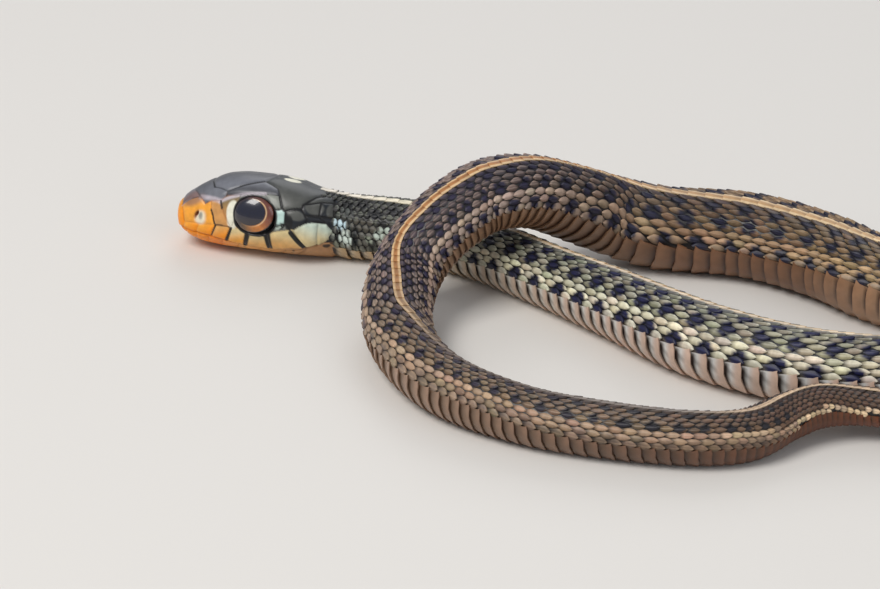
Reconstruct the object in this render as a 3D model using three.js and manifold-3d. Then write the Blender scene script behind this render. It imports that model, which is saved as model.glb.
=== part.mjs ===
import * as THREE from "three";
import { mergeVertices } from "three/addons/utils/BufferGeometryUtils.js";
import Module from "manifold-3d";

// A young garter snake, 266 mm long, lying in a loose loop on the floor. Millimetres, +Z up.
// Its head points to -X, and the body comes back over the neck and round to the front.

const wasm = await Module();
wasm.setup();

// Driving sizes
const ventAt = 189; // from the head joint along the body
const partingGap = 0.3; // between two lengths, face to face
const flatShare = 0.93; // height of the axis over the floor, as a share of the radius
const bodyWidth = 1.05; // the body is this much wider than it is high
const trunkScutes = 186;
const tailScutes = 32; // each stands for a pair of real rows
const scuteLift = 0.1; // how far the rear edge of a belly scute stands off the body
const scuteLip = 0.14; // length of the step behind it

// The way of the body, from the head joint to the tip of the tail: x, y, height of the belly
// above the floor, radius
const route = [
  [-7.3, 6.9, 0, 2.35],
  [-1.5, 5.7, 0, 2.3],
  [3.1, 3, 0, 2.24],
  [7.8, -1.3, 0, 2.26],
  [11.7, -5.2, 0, 2.4],
  [18.1, -11.8, 0, 2.63],
  [24.2, -15.2, 0, 2.6],
  [29.4, -16.25, 0, 2.54],
  [36.5, -17.3, 0, 2.64],
  [43, -17.6, 0, 2.62],
  [50.2, -16.9, 0, 2.64],
  [55.8, -13.8, 0, 2.68],
  [57.3, -8.2, 0, 2.72],
  [53.8, -3.6, 0, 2.78],
  [47.8, -2.9, 0, 2.82],
  [41, -5.2, 0, 2.88],
  [35.4, -6, 0, 2.94],
  [30.9, -3.2, 0, 2.98],
  [27.7, 0.2, 0, 3.02],
  [22.5, 3.7, 0, 3.06],
  [15.7, 5, 0.2, 2.98],
  [12.3, 5.2, 1.15, 2.88],
  [9, 3.7, 3.15, 2.73],
  [6.4, 2, 4.8, 2.6],
  [4.2, 0.5, 5.45, 2.56],
  [2.5, -0.2, 5.15, 2.55],
  [-0.4, -2, 3.6, 2.48],
  [-2.5, -4.5, 1.4, 2.42],
  [-2.8, -9.7, 0.1, 2.26],
  [0, -16.6, 0, 2.1],
  [5.2, -20.7, 0, 1.93],
  [10.4, -22.6, 0, 1.86],
  [16.8, -23.7, 0, 1.77],
  [20, -23.1, 0, 1.71],
  [22.6, -21.4, 0.5, 1.56],
  [24.8, -20.57, 0.92, 1.46],
  [27.2, -20.42, 1.04, 1.3],
  [30.4, -20.92, 0.94, 1.24],
  [38.5, -22.3, 0.3, 1.19],
  [48.5, -22.6, 0, 1.08],
  [58.5, -20.2, 0, 0.95],
  [67.5, -14.2, 0, 0.8],
  [75, -7.5, 0, 0.62],
  [79.5, 0.5, 0, 0.42],
];

// How far the back is turned about the body's axis, in degrees: along the body, turn.
// A positive turn leans it to the snake's right.
const turns = [
  [0, 16], [1.5, 8], [4, 3], [6, 0], [10, 8], [15, 14], [25, 18], [33, 20], [48, 22], [60, 16], [78, 2],
  [98, -10], [108, -5], [112, 4], [118, 10], [121, 8], [124.5, 0], [127, -5], [131, -6], [137, 3],
  [142, 9], [145, 3], [148, -5], [150, -5], [152, 0], [154.5, 3], [157, 18], [160, 28], [165, 34],
  [168, 30], [171, 22], [176, 14], [183, 16], [186.5, 6], [190, 16], [194, 3], [205, 3], [255, 0],
];

// Where the belly scutes end, in degrees from the middle of the back: along the body, angle
const scuteEdge = [
  [0, 126], [6, 112], [14, 102], [30, 102], [60, 102], [80, 98], [100, 86], [112, 79], [119, 81],
  [126, 95], [132, 105], [137, 98], [141, 92], [146, 97], [152, 104], [160, 107], [178, 107], [186, 104],
  [191, 97], [200, 94], [255, 92],
];

// How far apart the scutes of the trunk are, one place against another: along the body, pitch
const scutePitch = [
  [0, 0.94], [18, 1.03], [27, 1.12], [36, 1.15], [45, 1.17], [58, 1.3], [70, 1.37], [86, 1.36],
  [100, 1.14], [108, 1], [115, 1.28], [123, 1.35], [129, 1.33], [133, 1.15], [138, 0.86], [140.5, 0.56],
  [143, 0.7], [150, 0.72], [156, 1], [160, 1.08], [166, 0.72], [171, 0.84], [176, 0.92], [181, 0.79],
  [186, 0.44], [189, 0.44],
];

const skin = { head: 0x45444a, olive: 0x6f6552, brown: 0x77654f, grey: 0x55504a, tail: 0x7d6c50 };

// Lengths of the body, in order, and how far from the head joint each ends
const lengths = [
  { name: "neck", end: 10, color: skin.head },
  { name: "fore_body", end: 32, color: skin.olive },
  { name: "fore_turn", end: 56, color: skin.olive },
  { name: "outer_turn", end: 78, color: skin.olive },
  { name: "far_turn", end: 100, color: skin.brown },
  { name: "far_body", end: 125, color: skin.brown },
  { name: "arch_rise", end: 139, color: skin.brown },
  { name: "arch_fall", end: 151, color: skin.grey },
  { name: "left_bend", end: 168, color: skin.grey },
  { name: "rear_body", end: ventAt, color: skin.grey },
  { name: "tail_base", end: 222, color: skin.tail },
  { name: "tail_tip", end: Infinity, color: skin.tail },
];

// Smooth curve of a value through [place, value] rows, with no overshoot
function profile(rows) {
  const slope = rows.map((row, i) => {
    if (i === 0 || i === rows.length - 1) return 0;
    const before = (row[1] - rows[i - 1][1]) / (row[0] - rows[i - 1][0]);
    const after = (rows[i + 1][1] - row[1]) / (rows[i + 1][0] - row[0]);
    return before * after <= 0 ? 0 : (2 * before * after) / (before + after);
  });
  return (place) => {
    if (place <= rows[0][0]) return rows[0][1];
    if (place >= rows[rows.length - 1][0]) return rows[rows.length - 1][1];
    const i = rows.findIndex((row) => row[0] > place) - 1;
    const span = rows[i + 1][0] - rows[i][0];
    const t = (place - rows[i][0]) / span;
    const rise = rows[i + 1][1] - rows[i][1];
    return rows[i][1] + rise * t * t * (3 - 2 * t)
      + span * t * (1 - t) * ((1 - t) * slope[i] - t * slope[i + 1]);
  };
}

// The axis of the body as a table of near points, and the place at a distance along it
const samplesPerLeg = 24;
const axis = new THREE.CatmullRomCurve3(
  route.map(([x, y, lift, radius]) => new THREE.Vector3(x, y, lift + flatShare * radius)),
  false,
  "centripetal",
);
const axisPoints = axis.getPoints(samplesPerLeg * (route.length - 1));
const axisAlong = [0];
for (let i = 1; i < axisPoints.length; i += 1) {
  axisAlong.push(axisAlong[i - 1] + axisPoints[i].distanceTo(axisPoints[i - 1]));
}
const bodyLength = axisAlong[axisAlong.length - 1];
const radiusAt = profile(route.map((row, i) => [axisAlong[i * samplesPerLeg], row[3]]));
const turnAt = profile(turns);
const scuteEdgeAt = profile(scuteEdge);
const scutePitchAt = profile(scutePitch);

function axisPoint(along) {
  const wanted = Math.min(Math.max(along, 0), bodyLength);
  let i = axisAlong.findIndex((length) => length >= wanted);
  i = Math.max(i, 1);
  const t = (wanted - axisAlong[i - 1]) / (axisAlong[i] - axisAlong[i - 1]);
  return new THREE.Vector3().lerpVectors(axisPoints[i - 1], axisPoints[i], t);
}

// Centre, direction towards the tail, back and right side of the body at a distance along it
function placeAt(along) {
  const reach = 0.4;
  const tangent = axisPoint(along + reach).sub(axisPoint(along - reach)).normalize();
  const across = new THREE.Vector3(0, 0, 1).cross(tangent).normalize();
  const up = new THREE.Vector3().crossVectors(tangent, across);
  const turn = THREE.MathUtils.degToRad(turnAt(along));
  return {
    centre: axisPoint(along),
    tangent,
    back: up.clone().multiplyScalar(Math.cos(turn)).addScaledVector(across, Math.sin(turn)),
    side: across.clone().multiplyScalar(Math.cos(turn)).addScaledVector(up, -Math.sin(turn)),
    radius: radiusAt(along),
  };
}

// Angles round a section from the middle of the back. A belly scute runs under the body from
// one scute edge to the other, and its side stands off the flank in the last few degrees.
const scuteSide = 4;
const backShares = [0.3, 0.58, 0.84]; // of the way from the middle of the back to the scute's side
const bellyShares = [0.34, 0.67]; // of the way from the scute edge to the middle of the belly

function sectionAngles(edge) {
  const half = [
    ...backShares.map((share) => share * (edge - scuteSide)),
    edge - scuteSide,
    edge,
    ...bellyShares.map((share) => edge + share * (180 - edge)),
  ];
  return [0, ...half, 180, ...half.toReversed().map((angle) => 360 - angle)];
}

function sectionPoint(place, angle, lift) {
  const radians = THREE.MathUtils.degToRad(angle);
  const radius = place.radius + lift;
  const point = place.centre.clone()
    .addScaledVector(place.back, radius * Math.cos(radians))
    .addScaledVector(place.side, radius * bodyWidth * Math.sin(radians));
  point.z = Math.max(point.z, 0); // what rests on the floor is flat there
  return point;
}

// A closed geometry from rings of points, all of one count, with flat ends
function loft(rings) {
  const count = rings[0].length;
  const points = rings.flat();
  const index = [];
  for (let r = 0; r + 1 < rings.length; r += 1) {
    for (let c = 0; c < count; c += 1) {
      const a = r * count + c;
      const b = r * count + ((c + 1) % count);
      index.push(a, a + count, b, b, a + count, b + count);
    }
  }
  for (const [ring, sign] of [[0, 1], [rings.length - 1, -1]]) {
    const middle = points.length;
    const sum = rings[ring].reduce((total, point) => total.add(point), new THREE.Vector3());
    points.push(sum.divideScalar(count));
    for (let c = 0; c < count; c += 1) {
      const a = ring * count + c;
      const b = ring * count + ((c + 1) % count);
      index.push(...(sign > 0 ? [middle, a, b] : [middle, b, a]));
    }
  }
  const geometry = new THREE.BufferGeometry().setFromPoints(points);
  geometry.setIndex(index);
  return geometry;
}

// Places of the scutes' front edges along the body: each trunk scute takes its share by pitch
function scuteEdges() {
  const steps = 400;
  const count = [0];
  for (let i = 1; i <= steps; i += 1) {
    count.push(count[i - 1] + 1 / scutePitchAt((ventAt * (i - 0.5)) / steps));
  }
  const edges = [];
  for (let scute = 0, i = 1; scute < trunkScutes; scute += 1) {
    const wanted = (count[steps] * scute) / trunkScutes;
    while (count[i] < wanted) i += 1;
    const t = (wanted - count[i - 1]) / (count[i] - count[i - 1]);
    edges.push((ventAt * (i - 1 + t)) / steps);
  }
  const tail = bodyLength - ventAt;
  for (let i = 0; i <= tailScutes; i += 1) edges.push(ventAt + (tail * i) / tailScutes);
  return edges;
}

// One length of the body: two rings to each belly scute, sunk at its front and raised at its rear
function bodyLengthGeometry(start, end) {
  const rings = [];
  const ring = (along, lift) => {
    const place = placeAt(along);
    const edge = scuteEdgeAt(along);
    rings.push(sectionAngles(edge).map((angle) => {
      const onBelly = angle >= edge && angle <= 360 - edge;
      return sectionPoint(place, angle, onBelly ? lift : 0);
    }));
  };
  ring(start, 0);
  for (const edge of scuteEdges().filter((along) => along > start + 0.3 && along < end - 0.3)) {
    ring(edge - scuteLip, scuteLift);
    ring(edge, 0);
  }
  ring(end, 0);
  return loft(rings);
}

// Head, in its own frame: X forward from the joint to the snout, Y to its left, Z up.
// Heights in the next rows are above the floor under the joint.
const headLength = 12.1;
const headColumns = 28;
const headEnd = partingGap / 2; // the head's last face, in front of the joint
const eye = { fromSnout: 6.41, out: 2.65, height: 2.84, radii: [1.66, 0.7, 1.45] };
const nostril = { fromSnout: 1.7, height: 2.4, radius: 0.2, depth: 0.45 };
const mouth = { corner: 10.9, into: 0.38, beyond: 0.6, lip: 0.13, floor: 0.03, steps: 13 };
const brow = { fromSnout: 5.8, angle: 0.98, length: 1.7, spread: 0.26, rise: 0.16 };

const jointRadius = radiusAt(0);
const jointHeight = flatShare * jointRadius;
const headHalfWidth = profile([
  [0, 0.3], [0.15, 0.95], [0.5, 1.4], [1.15, 1.8], [2.4, 2.17], [4, 2.68], [5.8, 2.98], [7.7, 3.27],
  [9.05, 3.35], [10.6, 3.0], [headLength, bodyWidth * jointRadius],
]);
const headCrown = profile([
  [0, 2.35], [0.15, 2.9], [0.5, 3.4], [1.15, 3.95], [2.6, 4.8], [3.85, 5.3], [5.3, 5.45],
  [6.7, 5.42], [8.65, 5.25], [10.55, 4.75], [headLength, jointHeight + jointRadius],
]);
const headChin = profile([
  [0, 1.85], [0.15, 1.4], [0.5, 0.95], [1.15, 0.52], [2.4, 0.15], [4.1, 0],
  [headLength, jointHeight - jointRadius],
]);
const mouthHeight = profile([
  [0, 1.3], [1.5, 1.05], [3, 0.88], [4.2, 0.7], [5.6, 0.5], [7.5, 0.42], [9.2, 0.5], [10.3, 0.75],
  [11, 1],
]);
const headSections = [
  headLength - headEnd, 11.4, 10.8, 10.1, 9.4, 8.7, 8, 7.3, 6.6, 5.9, 5.2, 4.5, 3.8, 3.2, 2.6, 2.1, 1.6,
  1.15, 0.75, 0.42, 0.2, 0.08, 0.02,
];

// Point of the head's surface at a distance from the snout and an angle from the crown
function headPoint(fromSnout, angle) {
  const crown = headCrown(fromSnout);
  const chin = headChin(fromSnout);
  const roundness = THREE.MathUtils.lerp(0.8, 1, (fromSnout / headLength) ** 4); // boxy head, round neck
  const middle = THREE.MathUtils.lerp(chin, crown, 0.44 + 0.06 * (fromSnout / headLength) ** 4);
  const across = Math.sin(angle);
  const along = Math.cos(angle);
  const overEye = Math.exp(-(((fromSnout - brow.fromSnout) / brow.length) ** 2)
    - ((Math.abs(angle) - brow.angle) / brow.spread) ** 2);
  const y = headHalfWidth(fromSnout) * Math.abs(across) ** roundness + brow.rise * overEye;
  const reach = along > 0 ? crown - middle : middle - chin;
  const z = middle + reach * Math.sign(along) * Math.abs(along) ** roundness + 0.5 * brow.rise * overEye;
  return new THREE.Vector3(headLength - fromSnout, Math.sign(across) * y, z - jointHeight);
}

// Half width of the head at a height, found by halving
function halfWidthAtHeight(fromSnout, height) {
  let low = 0;
  let high = Math.PI;
  for (let i = 0; i < 24; i += 1) {
    const angle = (low + high) / 2;
    if (headPoint(fromSnout, angle).z + jointHeight > height) low = angle;
    else high = angle;
  }
  return headPoint(fromSnout, low).y;
}

function headShape() {
  const rings = headSections.map((fromSnout) => {
    const ring = [];
    for (let c = 0; c < headColumns; c += 1) {
      const angle = (2 * Math.PI * c) / headColumns;
      ring.push(headPoint(fromSnout, angle > Math.PI ? angle - 2 * Math.PI : angle));
    }
    return ring;
  });
  return loft(rings);
}

// Line of the mouth: a wedge that runs from the right corner round the snout to the left one
function mouthCut() {
  let front = 0;
  while (headChin(front) > mouthHeight(front)) front += 0.01;
  const line = [];
  for (let i = -mouth.steps; i <= mouth.steps; i += 1) {
    const t = i / mouth.steps;
    const fromSnout = front + (mouth.corner - front) * t * t;
    const height = mouthHeight(fromSnout);
    const y = i === 0 ? 0 : Math.sign(t) * halfWidthAtHeight(fromSnout, height);
    line.push(new THREE.Vector3(headLength - fromSnout, y, height - jointHeight));
  }
  const rings = line.map((point, i) => {
    const next = line[Math.min(i + 1, line.length - 1)];
    const last = line[Math.max(i - 1, 0)];
    const out = new THREE.Vector3(next.y - last.y, last.x - next.x, 0).normalize();
    const corner = (offset, rise) => new THREE.Vector3(0, 0, rise).add(point).addScaledVector(out, offset);
    return [
      corner(mouth.beyond, mouth.lip),
      corner(-mouth.into, mouth.floor),
      corner(-mouth.into, -mouth.floor),
      corner(mouth.beyond, -mouth.lip),
    ];
  });
  return loft(rings);
}

function nostrilCut(sideways) {
  const y = halfWidthAtHeight(nostril.fromSnout, nostril.height);
  const geometry = new THREE.CylinderGeometry(nostril.radius, nostril.radius, 2 * nostril.depth, 8);
  geometry.translate(headLength - nostril.fromSnout, sideways * y, nostril.height - jointHeight);
  return geometry;
}

function eyeShape(sideways, extra) {
  const [long, out, high] = eye.radii.map((radius) => radius + extra);
  const geometry = new THREE.SphereGeometry(1, 18, 12);
  geometry.scale(long, out, high);
  geometry.translate(headLength - eye.fromSnout, sideways * eye.out, eye.height - jointHeight);
  return geometry;
}

// Solids are cut as closed manifolds, and each keeps its largest closed surface
function solidFrom(geometry) {
  const bare = geometry.clone();
  bare.deleteAttribute("normal");
  bare.deleteAttribute("uv");
  const merged = mergeVertices(bare, 1e-4);
  return new wasm.Manifold(new wasm.Mesh({
    numProp: 3,
    vertProperties: new Float32Array(merged.attributes.position.array),
    triVerts: new Uint32Array(merged.index.array),
  }));
}

function geometryFrom(solid) {
  const [largest] = solid.decompose().sort((a, b) => b.volume() - a.volume());
  const mesh = largest.getMesh();
  const geometry = new THREE.BufferGeometry();
  geometry.setAttribute("position", new THREE.BufferAttribute(mesh.vertProperties, 3));
  geometry.setIndex(new THREE.BufferAttribute(mesh.triVerts, 1));
  return geometry;
}

function named(name, geometry, color, roughness = 0.55) {
  const material = new THREE.MeshStandardMaterial({ color, roughness, metalness: 0 });
  const mesh = new THREE.Mesh(geometry, material);
  mesh.name = name;
  return mesh;
}

// The head's group stands at the joint, looks along the body's axis and leans as the neck does
function headGroup() {
  const joint = placeAt(0);
  const head = new THREE.Group();
  const basis = new THREE.Matrix4().makeBasis(
    joint.tangent.clone().negate(),
    joint.side.clone().negate(),
    joint.back,
  );
  head.position.copy(joint.centre);
  head.quaternion.setFromRotationMatrix(basis);
  head.updateMatrix();

  const underFloor = new THREE.BoxGeometry(60, 60, 10);
  underFloor.translate(joint.centre.x, joint.centre.y, -5);
  underFloor.applyMatrix4(head.matrix.clone().invert());
  let skull = solidFrom(headShape()).subtract(solidFrom(mouthCut())).subtract(solidFrom(underFloor));
  for (const sideways of [1, -1]) {
    skull = skull.subtract(solidFrom(eyeShape(sideways, partingGap)));
    skull = skull.subtract(solidFrom(nostrilCut(sideways)));
  }
  head.add(named("head", geometryFrom(skull), skin.head));
  head.add(named("eye_left", eyeShape(1, 0), 0x1a1310, 0.08));
  head.add(named("eye_right", eyeShape(-1, 0), 0x1a1310, 0.08));
  return head;
}

function bodyGroup() {
  const body = new THREE.Group();
  let start = partingGap / 2;
  for (const { name, end, color } of lengths) {
    const last = end > bodyLength;
    const stop = last ? bodyLength : end - partingGap / 2;
    body.add(named(name, bodyLengthGeometry(start, stop), color));
    start = end + partingGap / 2;
  }
  return body;
}

// The whole snake, moved so that the middle of its box is over the origin, with its belly on z = 0
const group = new THREE.Group();
group.add(headGroup(), bodyGroup());
group.updateMatrixWorld(true);
const box = new THREE.Box3().setFromObject(group, true);
group.position.set(-(box.min.x + box.max.x) / 2, -(box.min.y + box.max.y) / 2, 0);

export default group;
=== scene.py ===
import math
import bmesh
import bpy
import numpy as np
from mathutils import Matrix, Vector


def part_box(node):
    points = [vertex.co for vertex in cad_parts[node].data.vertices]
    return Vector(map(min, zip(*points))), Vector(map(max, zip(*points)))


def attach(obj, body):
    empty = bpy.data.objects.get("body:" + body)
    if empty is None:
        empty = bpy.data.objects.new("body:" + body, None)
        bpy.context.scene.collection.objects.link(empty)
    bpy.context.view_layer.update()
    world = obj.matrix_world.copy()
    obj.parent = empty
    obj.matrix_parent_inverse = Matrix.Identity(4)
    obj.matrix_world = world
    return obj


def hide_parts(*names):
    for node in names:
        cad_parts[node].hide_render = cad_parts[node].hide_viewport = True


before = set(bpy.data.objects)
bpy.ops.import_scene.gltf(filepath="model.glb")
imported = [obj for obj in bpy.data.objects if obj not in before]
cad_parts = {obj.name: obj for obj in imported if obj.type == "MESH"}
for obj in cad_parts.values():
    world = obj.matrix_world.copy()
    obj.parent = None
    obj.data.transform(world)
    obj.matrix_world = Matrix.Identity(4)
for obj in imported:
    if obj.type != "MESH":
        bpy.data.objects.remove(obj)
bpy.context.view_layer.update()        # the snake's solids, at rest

mm = 0.001
rng = np.random.default_rng(17)


# Small helpers

def paint(red, green, blue):   # a colour as it is seen, made linear for the shaders
    seen = np.array([red, green, blue], float)
    return np.where(seen <= 0.04045, seen / 12.92, ((seen + 0.055) / 1.055) ** 2.4)


def smooth(low, high, x):
    t = np.clip((x - low) / (high - low), 0, 1)
    return t * t * (3 - 2 * t)


def mix(a, b, share):
    share = np.asarray(share)[..., None]
    return a * (1 - share) + b * share


def profile(rows):   # smooth curve through (place, value) rows, with no overshoot
    place = np.array([row[0] for row in rows], float)
    value = np.array([row[1] for row in rows], float)
    grade = np.diff(value) / np.diff(place)
    slope = np.zeros(len(rows))
    same = grade[1:] * grade[:-1] > 0
    slope[1:-1][same] = 2 * grade[1:][same] * grade[:-1][same] / (grade[1:] + grade[:-1])[same]

    def curve(at):
        at = np.clip(at, place[0], place[-1])
        i = np.clip(np.searchsorted(place, at, side="right") - 1, 0, len(rows) - 2)
        span = place[i + 1] - place[i]
        t = (at - place[i]) / span
        rise = value[i + 1] - value[i]
        ease = (1 - t) * slope[i] - t * slope[i + 1]
        return value[i] + rise * t * t * (3 - 2 * t) + span * t * (1 - t) * ease
    return curve


def unit(vectors):
    return vectors / np.linalg.norm(vectors, axis=-1, keepdims=True)


# The way of the body, the same rows as in the solids: x, y, height of the belly, radius, in mm
route = [
    (-7.3, 6.9, 0, 2.35), (-1.5, 5.7, 0, 2.3), (3.1, 3, 0, 2.24), (7.8, -1.3, 0, 2.26),
    (11.7, -5.2, 0, 2.4), (18.1, -11.8, 0, 2.63), (24.2, -15.2, 0, 2.6), (29.4, -16.25, 0, 2.54),
    (36.5, -17.3, 0, 2.64), (43, -17.6, 0, 2.62), (50.2, -16.9, 0, 2.64), (55.8, -13.8, 0, 2.68),
    (57.3, -8.2, 0, 2.72), (53.8, -3.6, 0, 2.78), (47.8, -2.9, 0, 2.82), (41, -5.2, 0, 2.88),
    (35.4, -6, 0, 2.94), (30.9, -3.2, 0, 2.98), (27.7, 0.2, 0, 3.02), (22.5, 3.7, 0, 3.06),
    (15.7, 5, 0.2, 2.98), (12.3, 5.2, 1.15, 2.88), (9, 3.7, 3.15, 2.73), (6.4, 2, 4.8, 2.6),
    (4.2, 0.5, 5.45, 2.56), (2.5, -0.2, 5.15, 2.55), (-0.4, -2, 3.6, 2.48), (-2.5, -4.5, 1.4, 2.42),
    (-2.8, -9.7, 0.1, 2.26), (0, -16.6, 0, 2.1), (5.2, -20.7, 0, 1.93), (10.4, -22.6, 0, 1.86),
    (16.8, -23.7, 0, 1.77), (20, -23.1, 0, 1.71), (22.6, -21.4, 0.5, 1.56), (24.8, -20.57, 0.92, 1.46),
    (27.2, -20.42, 1.04, 1.3), (30.4, -20.92, 0.94, 1.24), (38.5, -22.3, 0.3, 1.19), (48.5, -22.6, 0, 1.08),
    (58.5, -20.2, 0, 0.95), (67.5, -14.2, 0, 0.8), (75, -7.5, 0, 0.62), (79.5, 0.5, 0, 0.42),
]
turns = [
    (0, 16), (1.5, 8), (4, 3), (6, 0), (10, 8), (15, 14), (25, 18), (33, 20), (48, 22), (60, 16),
    (78, 2), (98, -10), (108, -5), (112, 4), (118, 10), (121, 8), (124.5, 0), (127, -5), (131, -6),
    (137, 3), (142, 9), (145, 3), (148, -5), (150, -5), (152, 0), (154.5, 3), (157, 18), (160, 28),
    (165, 34), (168, 30), (171, 22), (176, 14), (183, 16), (186.5, 6), (190, 16), (194, 3), (205, 3),
    (255, 0),
]
scuteEdge = [   # where the belly scutes end, in degrees from the middle of the back
    (0, 126), (6, 112), (14, 102), (30, 102), (60, 102), (80, 98), (100, 86), (112, 79), (119, 81),
    (126, 95), (132, 105), (137, 98), (141, 92), (146, 97), (152, 104), (160, 107), (178, 107),
    (186, 104), (191, 97), (200, 94), (255, 92),
]
scutePitch = [   # how far apart the scutes are, and under the tail the rings of scales
    (0, 0.94), (18, 1.03), (27, 1.12), (36, 1.15), (45, 1.17), (58, 1.3), (70, 1.37), (86, 1.36),
    (100, 1.14), (108, 1), (115, 1.28), (123, 1.35), (129, 1.33), (133, 1.15), (138, 0.86),
    (140.5, 0.56), (143, 0.7), (150, 0.72), (156, 1), (160, 1.08), (166, 0.72), (171, 0.84),
    (176, 0.92), (181, 0.79), (186, 0.44), (189, 0.44), (196, 0.62), (205, 0.85), (225, 0.95),
    (245, 0.8), (256, 0.6),
]
body = {
    "vent": 189, "axisHeight": 0.93, "width": 1.05, "trunkScutes": 186,
    "stepsPerLeg": 24, "fullRadius": 2.6,   # plates are as thick as drawn at this radius
}


def axisTable(points):   # centripetal curve through the route
    padded = np.vstack([2 * points[0] - points[1], points, 2 * points[-1] - points[-2]])
    t = np.linspace(0, 1, body["stepsPerLeg"] + 1)[:-1, None]
    legs = []
    for i in range(len(points) - 1):
        before, start, end, after = padded[i:i + 4]
        gap = [np.linalg.norm(start - before), np.linalg.norm(end - start), np.linalg.norm(after - end)]
        lead, step, trail = np.sqrt(gap)
        goIn = ((start - before) / lead - (end - before) / (lead + step) + (end - start) / step) * step
        goOut = ((end - start) / step - (after - start) / (step + trail) + (after - end) / trail) * step
        square = -3 * start + 3 * end - 2 * goIn - goOut
        cube = 2 * start - 2 * end + goIn + goOut
        legs.append(start + goIn * t + square * t ** 2 + cube * t ** 3)
    return np.vstack(legs + [points[-1:]])


routeRows = np.array(route, float)
centres = np.column_stack([routeRows[:, 0], routeRows[:, 1],
                           routeRows[:, 2] + body["axisHeight"] * routeRows[:, 3]])
axis = axisTable(centres)
axisAlong = np.concatenate([[0], np.cumsum(np.linalg.norm(np.diff(axis, axis=0), axis=1))])
bodyLength = axisAlong[-1]
radiusAt = profile(list(zip(axisAlong[::body["stepsPerLeg"]], routeRows[:, 3])))
turnAt = profile(turns)
edgeAt = profile(scuteEdge)


def axisPoint(along):
    return np.stack([np.interp(along, axisAlong, axis[:, i]) for i in range(3)], -1)


def placeAt(along):   # centre, way, back and left side of the body at distances from the head joint
    reach = 0.4
    way = unit(axisPoint(along + reach) - axisPoint(along - reach))
    right = unit(np.cross([0, 0, 1.0], way))
    up = np.cross(way, right)
    turn = np.radians(turnAt(along))[..., None]
    back = up * np.cos(turn) + right * np.sin(turn)
    left = up * np.sin(turn) - right * np.cos(turn)
    return axisPoint(along), way, back, left, radiusAt(along)


def tubePoint(along, angle, lift):   # angle in radians from the middle of the back, left is positive
    centre, _, back, left, radius = placeAt(along)
    reach = (radius + lift)[..., None]
    out = back * np.cos(angle)[..., None] + left * body["width"] * np.sin(angle)[..., None]
    point = centre + reach * out
    point[..., 2] = np.maximum(point[..., 2], 0)
    return point


# The head's form, the same rows as in the solids: distance from the snout, size, in mm
head = {
    "length": 12.1, "roundness": 0.8, "neckRoundness": 0.2, "middle": 0.44, "neckMiddle": 0.06,
    "brow": {"fromSnout": 5.8, "angle": 0.98, "length": 1.7, "spread": 0.26, "rise": 0.16},
}
jointRadius = route[0][3]
jointHeight = body["axisHeight"] * jointRadius
headHalfWidth = profile([
    (0, 0.3), (0.15, 0.95), (0.5, 1.4), (1.15, 1.8), (2.4, 2.17), (4, 2.68), (5.8, 2.98), (7.7, 3.27),
    (9.05, 3.35), (10.6, 3.0), (head["length"], body["width"] * jointRadius),
])
headCrown = profile([
    (0, 2.35), (0.15, 2.9), (0.5, 3.4), (1.15, 3.95), (2.6, 4.8), (3.85, 5.3), (5.3, 5.45), (6.7, 5.42),
    (8.65, 5.25), (10.55, 4.75), (head["length"], jointHeight + jointRadius),
])
headChin = profile([
    (0, 1.85), (0.15, 1.4), (0.5, 0.95), (1.15, 0.52), (2.4, 0.15), (4.1, 0),
    (head["length"], jointHeight - jointRadius),
])
mouthHeight = profile([
    (0, 1.3), (1.5, 1.05), (3, 0.88), (4.2, 0.7), (5.6, 0.5), (7.5, 0.42), (9.2, 0.5), (10.3, 0.75), (11, 1),
])


def headPoint(fromSnout, angle):   # in the head's own frame: X to the snout, Y to the left, Z up
    fromSnout, angle = np.broadcast_arrays(np.asarray(fromSnout, float), np.asarray(angle, float))
    crown = headCrown(fromSnout)
    chin = headChin(fromSnout)
    neckShare = (fromSnout / head["length"]) ** 4
    roundness = head["roundness"] + head["neckRoundness"] * neckShare
    middle = chin + (crown - chin) * (head["middle"] + head["neckMiddle"] * neckShare)
    across = np.sin(angle)
    upward = np.cos(angle)
    brow = head["brow"]
    overEye = np.exp(-((fromSnout - brow["fromSnout"]) / brow["length"]) ** 2
                     - ((np.abs(angle) - brow["angle"]) / brow["spread"]) ** 2)
    y = headHalfWidth(fromSnout) * np.abs(across) ** roundness + brow["rise"] * overEye
    reach = np.where(upward > 0, crown - middle, middle - chin)
    z = middle + reach * np.sign(upward) * np.abs(upward) ** roundness + 0.5 * brow["rise"] * overEye
    return np.stack([head["length"] - fromSnout, np.sign(across) * y, z - jointHeight], -1)


jointCentre, jointWay, jointBack, jointLeft, _ = placeAt(np.array(0.0))
headBasis = np.stack([-jointWay, jointLeft, jointBack])   # rows: forward, left, up


def headSurface(fromSnout, angle, lift):
    step = 0.01
    near = np.maximum(fromSnout - step, 0)
    alongSkin = headPoint(near + 2 * step, angle) - headPoint(near, angle)
    aroundSkin = headPoint(fromSnout, angle + step) - headPoint(fromSnout, angle - step)
    out = unit(np.cross(aroundSkin, alongSkin) + 1e-9)
    point = headPoint(fromSnout, angle) + out * np.asarray(lift)[..., None]
    placed = point @ headBasis + jointCentre
    placed[..., 2] = np.maximum(placed[..., 2], 0)
    return placed


def surface(along, angle, lift):   # the whole animal: before the joint it is the head
    onHead = along < 0
    fromSnout = np.clip(head["length"] + along, 0, head["length"])
    return np.where(onHead[..., None], headSurface(fromSnout, angle, lift),
                    tubePoint(np.clip(along, 0, bodyLength), angle, lift))


# The eye, and from it the move from the route's own numbers to the frame
eye = {"fromSnout": 6.41, "height": 2.84, "out": 2.65, "radii": (1.66, 0.7, 1.45)}
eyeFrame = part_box("eye_left")


def headPlace(forward, left, up):   # a point of the head's own frame, in the route's numbers
    return np.array([forward, left, up]) @ headBasis + jointCentre


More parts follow.
